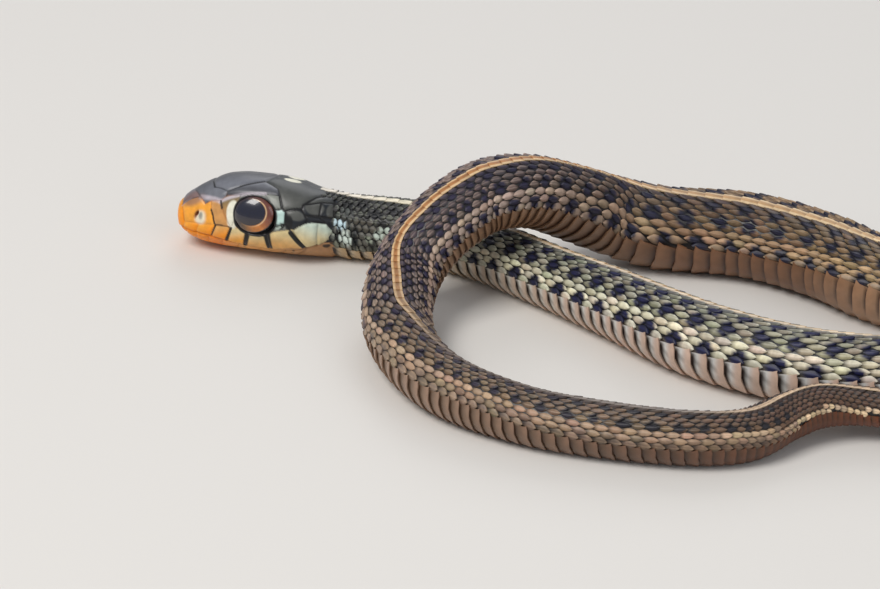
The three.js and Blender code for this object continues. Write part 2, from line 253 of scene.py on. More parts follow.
eyeCentre = headPlace(head["length"] - eye["fromSnout"], eye["out"], eye["height"] - jointHeight)
shift = (np.array(eyeFrame[0]) + np.array(eyeFrame[1])) / 2 / mm - eyeCentre
shift[2] = 0
print("frame read, shift", shift.round(3), "body length", round(bodyLength, 1))


def metres(points):
    return (points + shift) * mm


# The camera looks along +Y, from as high as the photo was taken
view = {"elevation": 27, "distance": 230, "lens": 131.73, "sensor": 36, "clipStart": 0.01}


def setCamera():
    lift = math.radians(view["elevation"])
    away = np.array([0, -math.cos(lift), math.sin(lift)]) * view["distance"]
    bpy.ops.object.camera_add(location=metres(away), rotation=(math.radians(90) - lift, 0, 0))
    camera = bpy.context.object
    camera.data.lens = view["lens"]
    camera.data.sensor_width = view["sensor"]
    camera.data.clip_start = view["clipStart"]
    bpy.context.scene.camera = camera


setCamera()


# Meshes from arrays, each with its tones and its own bake map

def newPiece(name, points, faces, tone, loopUv):
    mesh = bpy.data.meshes.new(name)
    mesh.from_pydata(metres(points).tolist(), [], faces)
    piece = bpy.data.objects.new(name, mesh)
    bpy.context.collection.objects.link(piece)
    mesh.polygons.foreach_set("use_smooth", [True] * len(mesh.polygons))
    setTone(mesh, tone)
    mesh.uv_layers.new(name="OFBake").data.foreach_set("uv", loopUv.ravel())
    return piece


def setTone(mesh, tone):
    colors = np.column_stack([tone, np.ones(len(tone))])
    mesh.attributes.new("tone", "FLOAT_COLOR", "POINT").data.foreach_set("color", colors.ravel())


def onlyActive(piece):
    bpy.ops.object.select_all(action="DESELECT")
    piece.select_set(True)
    bpy.context.view_layer.objects.active = piece


# Tones of the coat along the body, from the head joint: place in mm, then the colour as seen
coat = {
    # On the tail, from 187 to 205, most tables are darker and warmer: partly the tail's own colour, partly
    # painted shade
    "back": [(0, .17, .17, .17), (8, .26, .26, .24), (14, .42, .42, .37), (26, .47, .46, .40),
             (60, .50, .47, .40), (92, .43, .36, .27), (125, .36, .28, .22), (140, .29, .25, .25),
             (152, .31, .27, .26), (160, .37, .31, .26), (178, .37, .29, .23), (187, .29, .20, .155),
             (205, .29, .21, .15), (255, .50, .42, .32)],
    "flank": [(0, .22, .22, .21), (8, .34, .34, .30), (14, .56, .55, .47), (26, .62, .60, .50),
              (60, .63, .59, .48), (92, .56, .46, .32), (125, .47, .37, .27), (140, .41, .34, .31),
              (152, .38, .33, .31), (160, .48, .39, .29), (178, .44, .35, .26), (187, .33, .23, .17),
              (205, .32, .23, .16), (255, .54, .46, .34)],
    "chain": [(0, .36, .37, .34), (8, .52, .52, .46), (14, .80, .77, .66), (26, .86, .82, .71),
              (60, .86, .81, .70), (92, .76, .65, .48), (125, .62, .50, .38), (140, .68, .60, .53),
              (160, .72, .61, .51), (178, .67, .55, .45), (189, .88, .77, .63), (205, .88, .78, .62),
              (255, .74, .66, .50)],
    "lowRow": [(0, .40, .39, .35), (8, .50, .49, .42), (14, .68, .65, .57), (26, .73, .70, .62),
               (60, .74, .69, .62), (92, .64, .55, .47), (125, .50, .41, .33), (140, .58, .51, .44),
               (160, .54, .47, .40), (178, .42, .34, .27), (205, .40, .26, .13), (255, .64, .54, .38)],
    "edge": [(0, .58, .60, .54), (14, .84, .84, .76), (26, .92, .92, .84), (60, .90, .88, .80),
             (92, .80, .69, .54), (125, .68, .57, .45), (140, .66, .58, .54), (150, .66, .57, .52),
             (160, .64, .55, .45), (178, .61, .52, .43), (187, .47, .36, .28), (205, .46, .35, .26),
             (255, .70, .62, .48)],
    "spot": [(0, .05, .05, .06), (14, .07, .08, .16), (26, .07, .08, .21), (60, .08, .09, .21),
             (92, .09, .09, .16), (125, .10, .10, .17), (150, .12, .10, .19), (160, .13, .10, .17),
             (178, .08, .07, .10), (205, .08, .06, .06), (255, .18, .14, .11)],
    "stripe": [(0, .93, .90, .84), (6, .94, .90, .78), (14, .80, .68, .52), (26, .82, .70, .53),
               (60, .82, .71, .54), (92, .76, .63, .46), (125, .72, .56, .38), (138, .68, .46, .26),
               (150, .66, .45, .26), (157, .56, .47, .36), (162, .48, .43, .40), (180, .46, .42, .39),
               (186, .74, .62, .50), (195, .78, .66, .54), (255, .74, .64, .48)],
    "stripeEdge": [(0, .93, .90, .84), (6, .94, .90, .78), (14, .90, .83, .72), (26, .90, .83, .74),
                   (60, .88, .81, .69), (92, .84, .75, .58), (125, .84, .73, .58), (150, .84, .71, .53),
                   (157, .70, .60, .48), (162, .52, .47, .44), (180, .50, .46, .43), (186, .80, .70, .58),
                   (255, .80, .71, .55)],
    # The scute and scuteFront rows from 106 to 130 are darkened as painted shade, on the inner side of the
    # arch
    "scute": [(0, .72, .60, .44), (8, .72, .63, .50), (14, .76, .68, .60), (26, .80, .68, .60),
              (60, .80, .68, .60), (92, .72, .57, .45), (106, .64, .49, .37), (114, .46, .32, .22),
              (124, .46, .32, .22), (130, .53, .40, .30), (140, .53, .40, .30), (160, .57, .46, .38),
              (178, .39, .28, .21), (187, .34, .18, .08), (196, .36, .17, .06), (205, .44, .25, .10),
              (255, .76, .62, .40)],
    "scuteFront": [(0, .74, .66, .54), (14, .80, .79, .75), (26, .82, .81, .79), (60, .81, .81, .80),
                   (92, .74, .62, .51), (106, .62, .49, .38), (114, .44, .31, .22), (124, .44, .31, .22),
                   (140, .49, .37, .28), (160, .48, .39, .31), (178, .35, .26, .19), (187, .30, .16, .07),
                   (205, .42, .24, .10), (255, .78, .64, .42)],
    # The skin between the scales: its own dark colour, darkened further as painted shade in the gaps
    "gap": [(0, .02, .02, .03), (60, .04, .04, .07), (125, .05, .04, .05), (160, .09, .08, .09),
            (190, .06, .04, .04), (205, .05, .03, .03), (255, .12, .09, .07)],
    "cleftSkinAndShadow": [(0, .16, .12, .10), (26, .14, .09, .08), (60, .14, .09, .08), (125, .26, .16, .11),
              (150, .32, .24, .18), (178, .26, .18, .13), (255, .30, .20, .11)],
}


def coatTone(name, along):
    rows = coat[name]
    place = [row[0] for row in rows]
    seen = np.array([paint(*row[1:]) for row in rows])
    return np.stack([np.interp(along, place, seen[:, i]) for i in range(3)], -1)


# Where each row of scales and each scute lies
rows = {"outward": 0.1, "joined": 4}   # how much rows widen to the belly; rings before the head joint
rowCounts = [(0, 19), (123, 19), (127, 17), (187, 17), (190, 15), (193, 13), (196, 11), (199, 9), (222, 9),
             (226, 7), (300, 7)]
neck = {"scutes": 14, "rings": 20, "first": 0.4}   # the first scutes carry more, and finer, rings of scales


def scutePlaces():   # where the front edge of each scute is, on the trunk and on under the tail
    fine = np.linspace(0, bodyLength, 1001)
    pitchAt = profile(scutePitch)
    count = np.concatenate([[0], np.cumsum(np.diff(fine) / pitchAt((fine[1:] + fine[:-1]) / 2))])
    count *= body["trunkScutes"] / np.interp(body["vent"], fine, count)
    return np.interp(np.arange(int(count[-1]) + 1), count, fine)


scuteFronts = scutePlaces()


def scuteAt(number):   # before the head joint the numbers are below 0
    onBody = np.interp(number, np.arange(len(scuteFronts)), scuteFronts)
    return np.where(number < 0, number * scuteFronts[1], onBody)


def ringPlaces():
    fine = np.arange(neck["rings"])
    bend = (neck["scutes"] - neck["first"] * neck["rings"]) / neck["rings"] ** 2
    onNeck = scuteAt(neck["first"] * fine + bend * fine ** 2)
    before = -onNeck[1] * np.arange(rows["joined"], 0, -1)
    return np.concatenate([before, onNeck, scuteFronts[neck["scutes"]:]])


def rowHalf(along):
    return np.interp(along, *zip(*rowCounts)) / 2


def rowAngle(row, along):
    share = row / rowHalf(along)
    return np.radians(edgeAt(along) * ((1 - rows["outward"]) * share + rows["outward"] * share ** 3))


rings = ringPlaces()
ringNumber = np.arange(len(rings)) - rows["joined"]


def ringAt(number):
    return np.interp(number, ringNumber, rings)


# Markings. Three rows of dark spots run along each side, every second ring, in turn. Each has its
# place among 19 and among 17 rows of scales, its half sizes in rows and in rings, and its first ring
spots = {
    "low": {"row": 8.5, "hindRow": 7.5, "tall": 1.05, "long": 0.52, "phase": 0.7},
    "middle": {"row": 5.1, "hindRow": 4.6, "tall": 1.3, "long": 0.56, "phase": 1.5},
    "high": {"row": 2.3, "hindRow": 2.0, "tall": 1.3, "long": 0.5, "phase": 0.1},
}
spotting = {   # how often a spot comes, how far spots stray, and how they shrink and fade behind
    "everyRings": 2, "wander": 0.22, "sizeSpread": 0.25, "hindSmaller": 0.2, "fewerLower": 0.15,
    "hindFainter": 0.65,
}


def spotShare(ring, row):   # how far a place lies inside a dark spot
    share = np.zeros(ring.shape)
    along = ringAt(ring)
    hind = smooth(150, 160, along)
    fewer = np.clip(9.5 - rowHalf(along), 0, 1)
    for name, spot in spots.items():
        number = np.round((ring - spot["phase"]) / spotting["everyRings"])
        seed = np.sin(number * 12.9898 + np.sign(row) * 4.1 + spot["row"] * 7.7) * 43758.5453
        wander = seed - np.floor(seed) - 0.5   # a steady random number for every spot
        centre = number * spotting["everyRings"] + spot["phase"] + spotting["wander"] * wander
        size = 1 + spotting["sizeSpread"] * wander
        smaller = spotting["hindSmaller"] * hind
        long = spot["long"] * size * (1 - smaller)
        tall = spot["tall"] * size * (1 - spotting["fewerLower"] * fewer - smaller)
        level = spot["row"] + (spot["hindRow"] - spot["row"]) * fewer
        away = np.hypot((ring - centre) / long, (np.abs(row) - level) / tall)
        strength = 1 - spotting["hindFainter"] * hind if name == "low" else 1
        share = np.maximum(share, strength * (1 - smooth(0.88, 1.08, away)))
    return share * smooth(3.5, 7, along) * (1 - smooth(187, 190, along))


neckMarksAndShade = [   # place, degrees from the middle of the back, half length, half degrees, tone, strength
    (0.45, 92, 0.2, 26, (.03, .04, .05), 1), (0.9, 52, 0.5, 10, (.30, .32, .31), .8),
    (2.2, 70, 1.0, 14, (.30, .28, .24), .8), (2.3, 96, 0.8, 20, (.33, .32, .29), .8),
    (0.9, 33, 0.5, 9, (.04, .05, .06), 1), (1.9, 29, 0.6, 8, (.04, .05, .06), 1),
    (2.9, 42, 0.7, 9, (.04, .05, .08), 1), (2.2, 54, 0.35, 6, (.05, .05, .07), .9),
    (3.6, 58, 0.45, 8, (.05, .05, .07), .9), (4.3, 30, 0.7, 8, (.05, .05, .09), .9),
    (3.0, 108, 0.4, 16, (.05, .06, .05), .8), (1.58, 95, 0.3, 24, (.02, .05, .06), 1),
    (0.55, 76, 0.42, 11, (.74, .83, .86), 1), (0.95, 101, 0.42, 15, (.82, .87, .83), 1),
    (2.6, 92, 0.3, 7, (.66, .70, .62), .8), (3.3, 80, 0.42, 8, (.72, .77, .72), 1),
    # the last mark in the list, low on the side of the neck's scutes, is painted shade
    (3.95, 71, 0.5, 8, (.70, .75, .70), 1), (1.7, 128, 1.6, 9, (.52, .42, .31), .8),
]


def neckTonesAndShade(along, angle, tone):   # the patches of the nape, and a painted shade low on the neck, on scales and skin alike
    degrees = np.abs(np.degrees(angle))
    for place, middle, long, tall, seenColor, strength in neckMarksAndShade:
        away = np.hypot((along - place) / long, (degrees - middle) / tall)
        tone = mix(tone, paint(*seenColor), strength * (1 - smooth(0.85, 1.1, away)))
    return tone


scaleLook = {   # how much single scales differ, and how strongly each part of one shows
    "valueSpread": 0.17, "hueSpread": 0.04, "paleRimAndHighlight": 0.85, "paleTipAndHighlight": 0.7, "shadedEdge": 0.45,
    "spotSheenGain": 1.6, "shadedRoot": 0.85, "stripeSpread": 0.06, "stripeDash": 0.4, "stripeRoot": 0.15,
    "reach": 0.42,   # of a pitch, from the middle of a scale to its edge
}


def groundTones(row, along):   # the coat row by row: back, flank, the pale chain, the lowest row
    level = np.abs(row)
    above = rowHalf(along) - level   # rows up from the scutes
    hind = smooth(125, 145, along)
    onTail = smooth(184, 189, along)
    chainRow = above + 1.25 * onTail   # on the tail the pale chain runs just above the scutes
    chain = smooth(3.4 - 0.6 * onTail, 2.6 - 0.1 * onTail, chainRow) * smooth(0.6, 1.4, chainRow)
    chain = chain * (1 - 0.5 * hind * (1 - onTail) * smooth(2.4, 1.6, above))
    ground = mix(coatTone("back", along), coatTone("flank", along), smooth(2.2, 6.0, level))
    ground = mix(ground, coatTone("chain", along), chain)
    ground = mix(ground, coatTone("lowRow", along), smooth(1.4, 0.6, above) * (1 - onTail))
    bend = smooth(136, 146, along) * smooth(164, 156, along) * (row > 0)
    return mix(ground, coatTone("flank", along) * 1.25, 0.6 * bend * (level < 6))


def scaleTones(ring, row, angle, x, y):   # colour over a scale: x from root to tip, y across it
    along = ringAt(ring)
    hind = smooth(125, 145, along)
    full = np.ones((len(ring), len(x)))
    toBack = -y[None] * np.sign(row)[:, None]   # 1 at the edge that faces the back
    u = (x + 1) / 2
    value = np.clip(rng.normal(0, 1, len(ring)), -2, 2)
    hue = 1 + scaleLook["hueSpread"] * np.clip(rng.normal(0, 1, (len(ring), 3)), -2, 2)
    ground = groundTones(row, along) * (1 + scaleLook["valueSpread"] * value[:, None]) * hue
    tone = ground[:, None, :] * full[..., None]
    # pale scale edges, lightened further as painted highlight on the rim that faces the back and on the tip
    pale = coatTone("edge", along)[:, None, :] * (1 + 0.1 * value[:, None, None]) * full[..., None]
    rimPaleAndHighlight = smooth(0.3, 0.95, toBack) * smooth(0.25, 0.55, u)[None]
    tipPaleAndHighlight = (smooth(0.8, 1.0, u) * smooth(1.0, 0.4, np.abs(y)))[None] * full
    tone = mix(tone, pale, scaleLook["paleRimAndHighlight"] * np.maximum(rimPaleAndHighlight, scaleLook["paleTipAndHighlight"] * tipPaleAndHighlight))
    tone = tone * (1 - scaleLook["shadedEdge"] * smooth(0.45, 0.95, -toBack))[..., None]
    # a pale line down the keel, stronger behind: painted highlight
    keel = (smooth(0.16, 0.04, np.abs(y)) * smooth(0.2, 0.5, u))[None] * (0.2 + 0.3 * hind)[:, None]
    tone = mix(tone, pale, keel)

    placeRing = ring[:, None] + scaleLook["reach"] * x[None]
    placeRow = row[:, None] + scaleLook["reach"] * y[None]
    dark = spotShare(placeRing, placeRow)
    nearStripe = smooth(1.7, 1.1, np.abs(placeRow)) * (0.45 + 0.2 * smooth(120, 132, along))[:, None]
    onBend = smooth(136, 144, along) * smooth(158, 153, along)
    inner = smooth(4.5, 1.5, -placeRow) * (placeRow < 0) * 0.4 * onBend[:, None]
    level = np.abs(row)
    tailRows = (level > 1.5) & (rowHalf(along) - level > 1) & (along > body["vent"])
    tailDots = tailRows[:, None] * smooth(0.5, 0.3, u)[None] * 0.9
    dark = np.maximum.reduce([dark, nearStripe, inner, tailDots]) * (1 - smooth(200, 240, along))[:, None]
    # bluish streaks beside the keel on the dark spots: painted highlight
    sheenBesideKeel = smooth(0.12, 0.0, np.abs(np.abs(y) - 0.38)) * smooth(0.3, 0.5, u)
    spotSheen = 1 + scaleLook["spotSheenGain"] * sheenBesideKeel[None, :, None]
    spot = coatTone("spot", along)[:, None, :] * spotSheen
    tone = mix(tone, spot, dark)
    tone = neckTonesAndShade(along[:, None] + 0.5 * x[None], angle[:, None] + 0.06 * y[None], tone)
    shade = 1 - scaleLook["shadedRoot"] * smooth(0.42, 0.15, u)
    return np.clip(tone * shade[None, :, None], 0, 1)


def stripeTones(along, x, y):   # the stripe: fine brown dashes in its middle, pale sides
    full = np.ones((len(along), len(x), 1))
    value = 1 + scaleLook["stripeSpread"] * np.clip(rng.normal(0, 1, len(along)), -2, 2)
    middle = (coatTone("stripe", along) * value[:, None])[:, None, :] * full
    side = (coatTone("stripeEdge", along) * value[:, None])[:, None, :] * full
    tone = mix(middle, side, smooth(0.36, 0.58, np.abs(y))[None] * full[..., 0])
    dash = smooth(0.34, 0.05, np.abs(y)) * smooth(0.66, 0.45, (x + 1) / 2) * scaleLook["stripeDash"]
    tone = tone * (1 - dash)[None, :, None]
    shade = 1 - scaleLook["stripeRoot"] * smooth(0.4, 0.2, (x + 1) / 2)
    return np.clip(tone * shade[None, :, None], 0, 1)


# One scale, one stripe scale and one belly scute, each modelled once. x runs from root to tip,
# y across, z out, in half sizes. Edges sharper than the angle stay sharp
scale = {
    "columns": (-1, -0.55, -0.1, 0.35, 0.7, 0.9, 1), "lines": (-1, -0.7, -0.35, 0, 0.35, 0.7, 1),
    "width": [(-1, 0.62), (-0.6, 0.86), (-0.1, 1.0), (0.35, 0.95), (0.7, 0.72), (0.9, 0.43), (1, 0.18)],
    "rise": [(-1, -0.17), (0, -0.07), (1, 0.0)], "dome": 0.09, "keel": 0.035, "rim": 0.1, "tip": 0.1,
    "sharpFrom": 62,
}
stripeScale = {
    "columns": (-1, -0.4, 0.1, 0.5, 0.85, 1), "lines": (-1, -0.6, -0.35, 0, 0.35, 0.6, 1),
    "width": [(-1, 0.98), (0.4, 1.0), (1, 0.96)],
    "rise": [(-1, -0.07), (0, -0.03), (1, 0)], "dome": 0.03, "keel": 0.015, "rim": 0.08, "tip": 0.04,
    "sharpFrom": 62,
}
scute = {
    "columns": (-1, -0.6, -0.2, 0.3, 0.75, 1),
    "lines": (-1, -0.96, -0.9, -0.8, -0.68, -0.52, -0.28, 0, 0.28, 0.52, 0.68, 0.8, 0.9, 0.96, 1),
    "width": [(-1, 0.955), (-0.6, 0.965), (0.3, 0.99), (1, 1.03)],
    "rise": [(-1, -0.13), (0, -0.03), (1, 0.06)], "dome": 0.0, "keel": 0.0, "rim": 0.1, "tip": 0.0,
    "sharpFrom": 50,
}


def pick(piece, test):
    bpy.ops.mesh.select_all(action="DESELECT")
    edit = bmesh.from_edit_mesh(piece.data)
    for vert in edit.verts:
        vert.select_set(bool(test(vert.co)))
    edit.select_flush_mode()
    bmesh.update_edit_mesh(piece.data)


def modelPlate(spec):   # a grid shaped column by column, then given a rim and an underside
    columns, lines = spec["columns"], spec["lines"]
    widthAt, riseAt = profile(spec["width"]), profile(spec["rise"])
    bpy.ops.object.select_all(action="DESELECT")
    bpy.ops.mesh.primitive_grid_add(
        x_subdivisions=len(columns) - 1, y_subdivisions=len(lines) - 1, size=2)
    plate = bpy.context.object
    bpy.ops.object.mode_set(mode="EDIT")
    bpy.ops.mesh.select_mode(type="VERT")
    evenLines = np.linspace(-1, 1, len(lines))
    for i in range(1, len(lines) - 1):   # lines gather beside the keel
        pick(plate, lambda co: abs(co.y - evenLines[i]) < 1e-4 and abs(co.z) < 1e-6)
        bpy.ops.transform.translate(value=(0, lines[i] - evenLines[i], 0.001))
    evenColumns = np.linspace(-1, 1, len(columns))
    shaped = 10   # a shaped column waits this high, clear of the others
    for i in range(len(columns)):
        pick(plate, lambda co: abs(co.x - evenColumns[i]) < 1e-4 and co.z < 0.002)
        bpy.ops.transform.resize(value=(1, float(widthAt(columns[i])), 1))
        rise = float(riseAt(columns[i])) + shaped
        bpy.ops.transform.translate(value=(columns[i] - evenColumns[i], 0, rise))
    for i in range(1, len(lines) // 2 + 1):   # across, the plate is domed and its tip is round
        for side in (-1, 1):
            width = abs(lines[i - 1])
            pick(plate, lambda co: abs(co.y - side * width * float(widthAt(co.x))) < 1e-3)
            bpy.ops.transform.translate(value=(0, 0, -spec["dome"] * width ** 2))
    pick(plate, lambda co: abs(co.y) < 1e-4 and -0.8 < co.x < 0.95)
    bpy.ops.transform.translate(value=(0, 0, spec["keel"]))
    for i in range(len(lines)):
        if abs(lines[i]) > 0.1:
            pick(plate, lambda co: co.x > 0.7 and abs(co.y - lines[i] * float(widthAt(co.x))) < 1e-3)
            bpy.ops.transform.translate(value=(-spec["tip"] * lines[i] ** 2, 0, 0))
    bpy.ops.mesh.select_all(action="SELECT")
    bpy.ops.transform.translate(value=(0, 0, -shaped))
    bpy.ops.mesh.select_mode(type="EDGE")
    bpy.ops.mesh.select_all(action="DESELECT")
    bpy.ops.mesh.select_non_manifold()
    bpy.ops.mesh.extrude_edges_move(TRANSFORM_OT_translate={"value": (0, 0, -spec["rim"])})
    bpy.ops.mesh.edge_face_add()
    bpy.ops.mesh.select_all(action="SELECT")
    bpy.ops.mesh.normals_make_consistent(inside=False)
    bpy.ops.object.mode_set(mode="OBJECT")
    mesh = plate.data
    points = np.array([vert.co[:] for vert in mesh.vertices])
    faces = [list(face.vertices) for face in mesh.polygons]
    bpy.data.objects.remove(plate)
    bpy.data.meshes.remove(mesh)
    return {"points": points, "faces": faces, "topCount": len(columns) * len(lines),
            "sharpFrom": spec["sharpFrom"]}


def stamp(plate, along, angle, halfLength, halfAngle, lift):   # one plate laid at each place
    x, y, z = plate["points"].T
    s = along[:, None] + halfLength[:, None] * x
    a = angle[:, None] + halfAngle[:, None] * y
    thick = radiusAt(along) / body["fullRadius"]
    points = surface(s, a, lift[:, None] + thick[:, None] * z)
    faces = []
    for i in range(len(along)):
        first = i * len(x)
        faces.extend([[first + corner for corner in face] for face in plate["faces"]])
    return points.reshape(-1, 3), faces


# Every plate has a cell of the bake map, its underside in a narrow strip of the cell. Rows that skip 0,
# as in backScales, run one line over: the last row lies on the next strip's first, or past the map
cell = {"top": 0.40, "rim": 0.45, "middle": 0.58, "high": 0.82, "under": 0.08, "underHigh": 0.06}


def cellUv(plate, column, line, columns, lines):
    x, y, _ = plate["points"].T
    margin = np.where(np.arange(len(x)) < plate["topCount"], cell["top"], cell["rim"])
    u = (column[:, None] + 0.5 + margin * x) / columns
    v = (line[:, None] + cell["middle"] + cell["high"] * margin * y) / lines
    corner = np.concatenate([np.array(face) for face in plate["faces"]])
    sizes = [len(face) for face in plate["faces"]]
    under = np.repeat(np.array(sizes) > 4, sizes)
    underV = (line[:, None] + cell["under"] + cell["underHigh"] * y[corner]) / lines
    return np.stack([u[:, corner], np.where(under, underV, v[:, corner])], -1).reshape(-1, 2)


def platePiece(name, plate, stamped, tone, uv):
    points, faces = stamped
    piece = newPiece(name, points, faces, tone.reshape(-1, 3), uv)
    onlyActive(piece)
    bpy.ops.object.shade_smooth_by_angle(angle=math.radians(plate["sharpFrom"]))
    print(name, len(faces) // len(plate["faces"]), "plates")
    return piece


print("modelling one scale, one stripe scale and one scute")
scalePlate = modelPlate(scale)
stripePlate = modelPlate(stripeScale)
scutePlate = modelPlate(scute)
for name, plate in [("scale", scalePlate), ("stripe scale", stripePlate), ("scute", scutePlate)]:
    print(name, len(plate["faces"]), "faces")


# Scales of the back and the flanks, in rows that run the whole body. Half sizes are shares of the
# pitch, the stripe's half width is in degrees, and the rows start a little before the head joint
coverage = {
    "long": 0.63, "wide": 0.56, "wideNearStripe": 0.66, "lowestWider": 0.06, "stripeLong": 0.62,
    "stripeWide": 6.9, "stripeWideLimb": 7.4, "stripeWideTail": 3, "longSpread": 0.03,
    "wideSpread": 0.02, "backStart": -1.3, "sideStart": -0.15, "end": 0.5, "rowMargin": 0.25,
    "strips": 6, "stripeStrips": 8,
}
lifts = {   # how high the plates stand off the body, in mm
    "scale": 0.015, "spread": 0.012, "chain": 0.03, "lowest": 0.02, "stripe": 0.045, "joint": 0.1,
    "scute": 0.02,
}


def scaleBand(name, rowList):
    ring, row = [], []
    for number in ringNumber:
        for k in rowList:
            at = number + (0.5 if k % 2 else 0)
            along = float(ringAt(at))
            start = coverage["backStart"] if abs(k) <= 2 else coverage["sideStart"]
            inRows = abs(k) + coverage["rowMargin"] <= rowHalf(along)
            if start <= along <= bodyLength - coverage["end"] and inRows:
                ring.append(at)
                row.append(k)
    ring, row = np.array(ring), np.array(row, float)
    level = np.abs(row)
    along = ringAt(ring)
    pitchAlong = ringAt(ring + 0.5) - ringAt(ring - 0.5)
    pitchAround = rowAngle(row + 0.5, along) - rowAngle(row - 0.5, along)
    above = rowHalf(along) - level
    chain = smooth(3.4, 2.6, above) * smooth(0.6, 1.4, above)
    lowest = above < 1
    count = len(ring)
    long = coverage["long"] + 0.05 * chain + coverage["longSpread"] * rng.normal(size=count)
    wide = coverage["wide"] - 0.03 * chain + coverage["wideSpread"] * rng.normal(size=count)
    wide = np.where(level == 1, coverage["wideNearStripe"], wide) + coverage["lowestWider"] * lowest
    lift = lifts["scale"] + lifts["spread"] * rng.normal(size=count) + lifts["chain"] * chain
    lift = lift + lifts["lowest"] * lowest
    lift = lift + lifts["joint"] * smooth(0.6, -0.6, along)
    angle = rowAngle(row, along)
    x, y, _ = scalePlate["points"].T
    stamped = stamp(scalePlate, along, angle, pitchAlong * long, pitchAround * wide, lift)
    tone = scaleTones(ring, row, angle, x, y)
    perStrip = math.ceil(len(ringNumber) / coverage["strips"])
    ringIndex = np.floor(ring - ringNumber[0]).astype(int)
    line = (ringIndex // perStrip) * len(rowList) + (row - min(rowList))
    uv = cellUv(scalePlate, ringIndex % perStrip, line, perStrip, coverage["strips"] * len(rowList))
    return platePiece(name, scalePlate, stamped, tone, uv)


def stripePiece():
    ring = np.arange(-1, len(scuteFronts) - 1).astype(float)
    along = scuteAt(ring)
    halfLength = (scuteAt(ring + 0.5) - scuteAt(ring - 0.5)) * coverage["stripeLong"]
    onLimb = smooth(128, 138, along) * smooth(190, 175, along)
    wider = (coverage["stripeWideLimb"] - coverage["stripeWide"]) * onLimb
    wider = wider + coverage["stripeWideTail"] * smooth(190, 215, along)
    halfAngle = np.radians(coverage["stripeWide"] + wider)
    lift = lifts["stripe"] + lifts["joint"] * smooth(0.6, -0.6, along)
    x, y, _ = stripePlate["points"].T
    stamped = stamp(stripePlate, along, np.zeros(len(ring)), halfLength, halfAngle, lift)
    tone = stripeTones(along, x, y)
    index = np.arange(len(ring))
    perStrip = math.ceil(len(ring) / coverage["stripeStrips"])
    uv = cellUv(stripePlate, index % perStrip, index // perStrip, perStrip, coverage["stripeStrips"])
    return platePiece("stripeScales", stripePlate, stamped, tone, uv)


backScales = scaleBand("backScales", [-2, -1, 1, 2])
stripeScales = stripePiece()
leftUpperScales = scaleBand("leftUpperScales", [3, 4, 5, 6])
leftLowerScales = scaleBand("leftLowerScales", [7, 8, 9])
rightUpperScales = scaleBand("rightUpperScales", [-6, -5, -4, -3])
rightLowerScales = scaleBand("rightLowerScales", [-9, -8, -7])


# Belly scutes, whole under the trunk and in pairs under the tail
belly = {
    "under": 4.0, "overlap": 0.64, "tailOverlap": 0.7, "lensFrom": 0.23, "foreLens": 0.04,
    "lens": 0.13, "lensAt": 0.76, "lensWide": 0.13, "hollow": 0.25, "hollowWide": 0.16,
    "roundEnd": 0.3, "ridgeHighlight": 0.4, "ridgeLight": 1.7, "valueSpread": 0.05, "strips": 4,
}


def scuteTones(along, x, y):   # pale front, tan rear, and a dark lens behind the plate in front: dark skin and painted shadow
    full = np.ones((len(along), len(x), 1))
    u = (x + 1) / 2
    across = np.abs(y)
    value = 1 + belly["valueSpread"] * np.clip(rng.normal(size=(len(along), 1, 1)), -2, 2)
    side = smooth(0.3, 0.6, across)
    rear = coatTone("scute", along)[:, None, :] * full * value
    front = coatTone("scuteFront", along)[:, None, :] * full * value
    tone = mix(rear, front, (side * (1 - smooth(0.45, 0.72, u)))[None] * full[..., 0])
    fore = (1 - smooth(100, 128, along))[:, None]
    bulge = np.exp(-((across - belly["lensAt"]) / belly["lensWide"]) ** 2)[None]
    lens = belly["lensFrom"] + belly["foreLens"] * fore + belly["lens"] * fore * bulge
    top = smooth(0.99, 0.9, across)
    # the dark lens behind the plate in front: dark skin and painted shadow under its rear edge
    cleftSkinAndShadow = smooth(lens + 0.05, lens - 0.05, u[None]) * ((0.25 + 0.75 * side) * top)[None]
    tone = mix(tone, coatTone("cleftSkinAndShadow", along)[:, None, :] * full, cleftSkinAndShadow)
    # a lighter band before the rear edge of the hind scutes: painted sheen
    ridgeHighlight = (1 - fore) * (smooth(0.55, 0.75, u) * smooth(1.0, 0.85, u))[None] * belly["ridgeHighlight"]
    tone = mix(tone, belly["ridgeLight"] * tone, ridgeHighlight)
    return np.clip(tone, 0, 1)


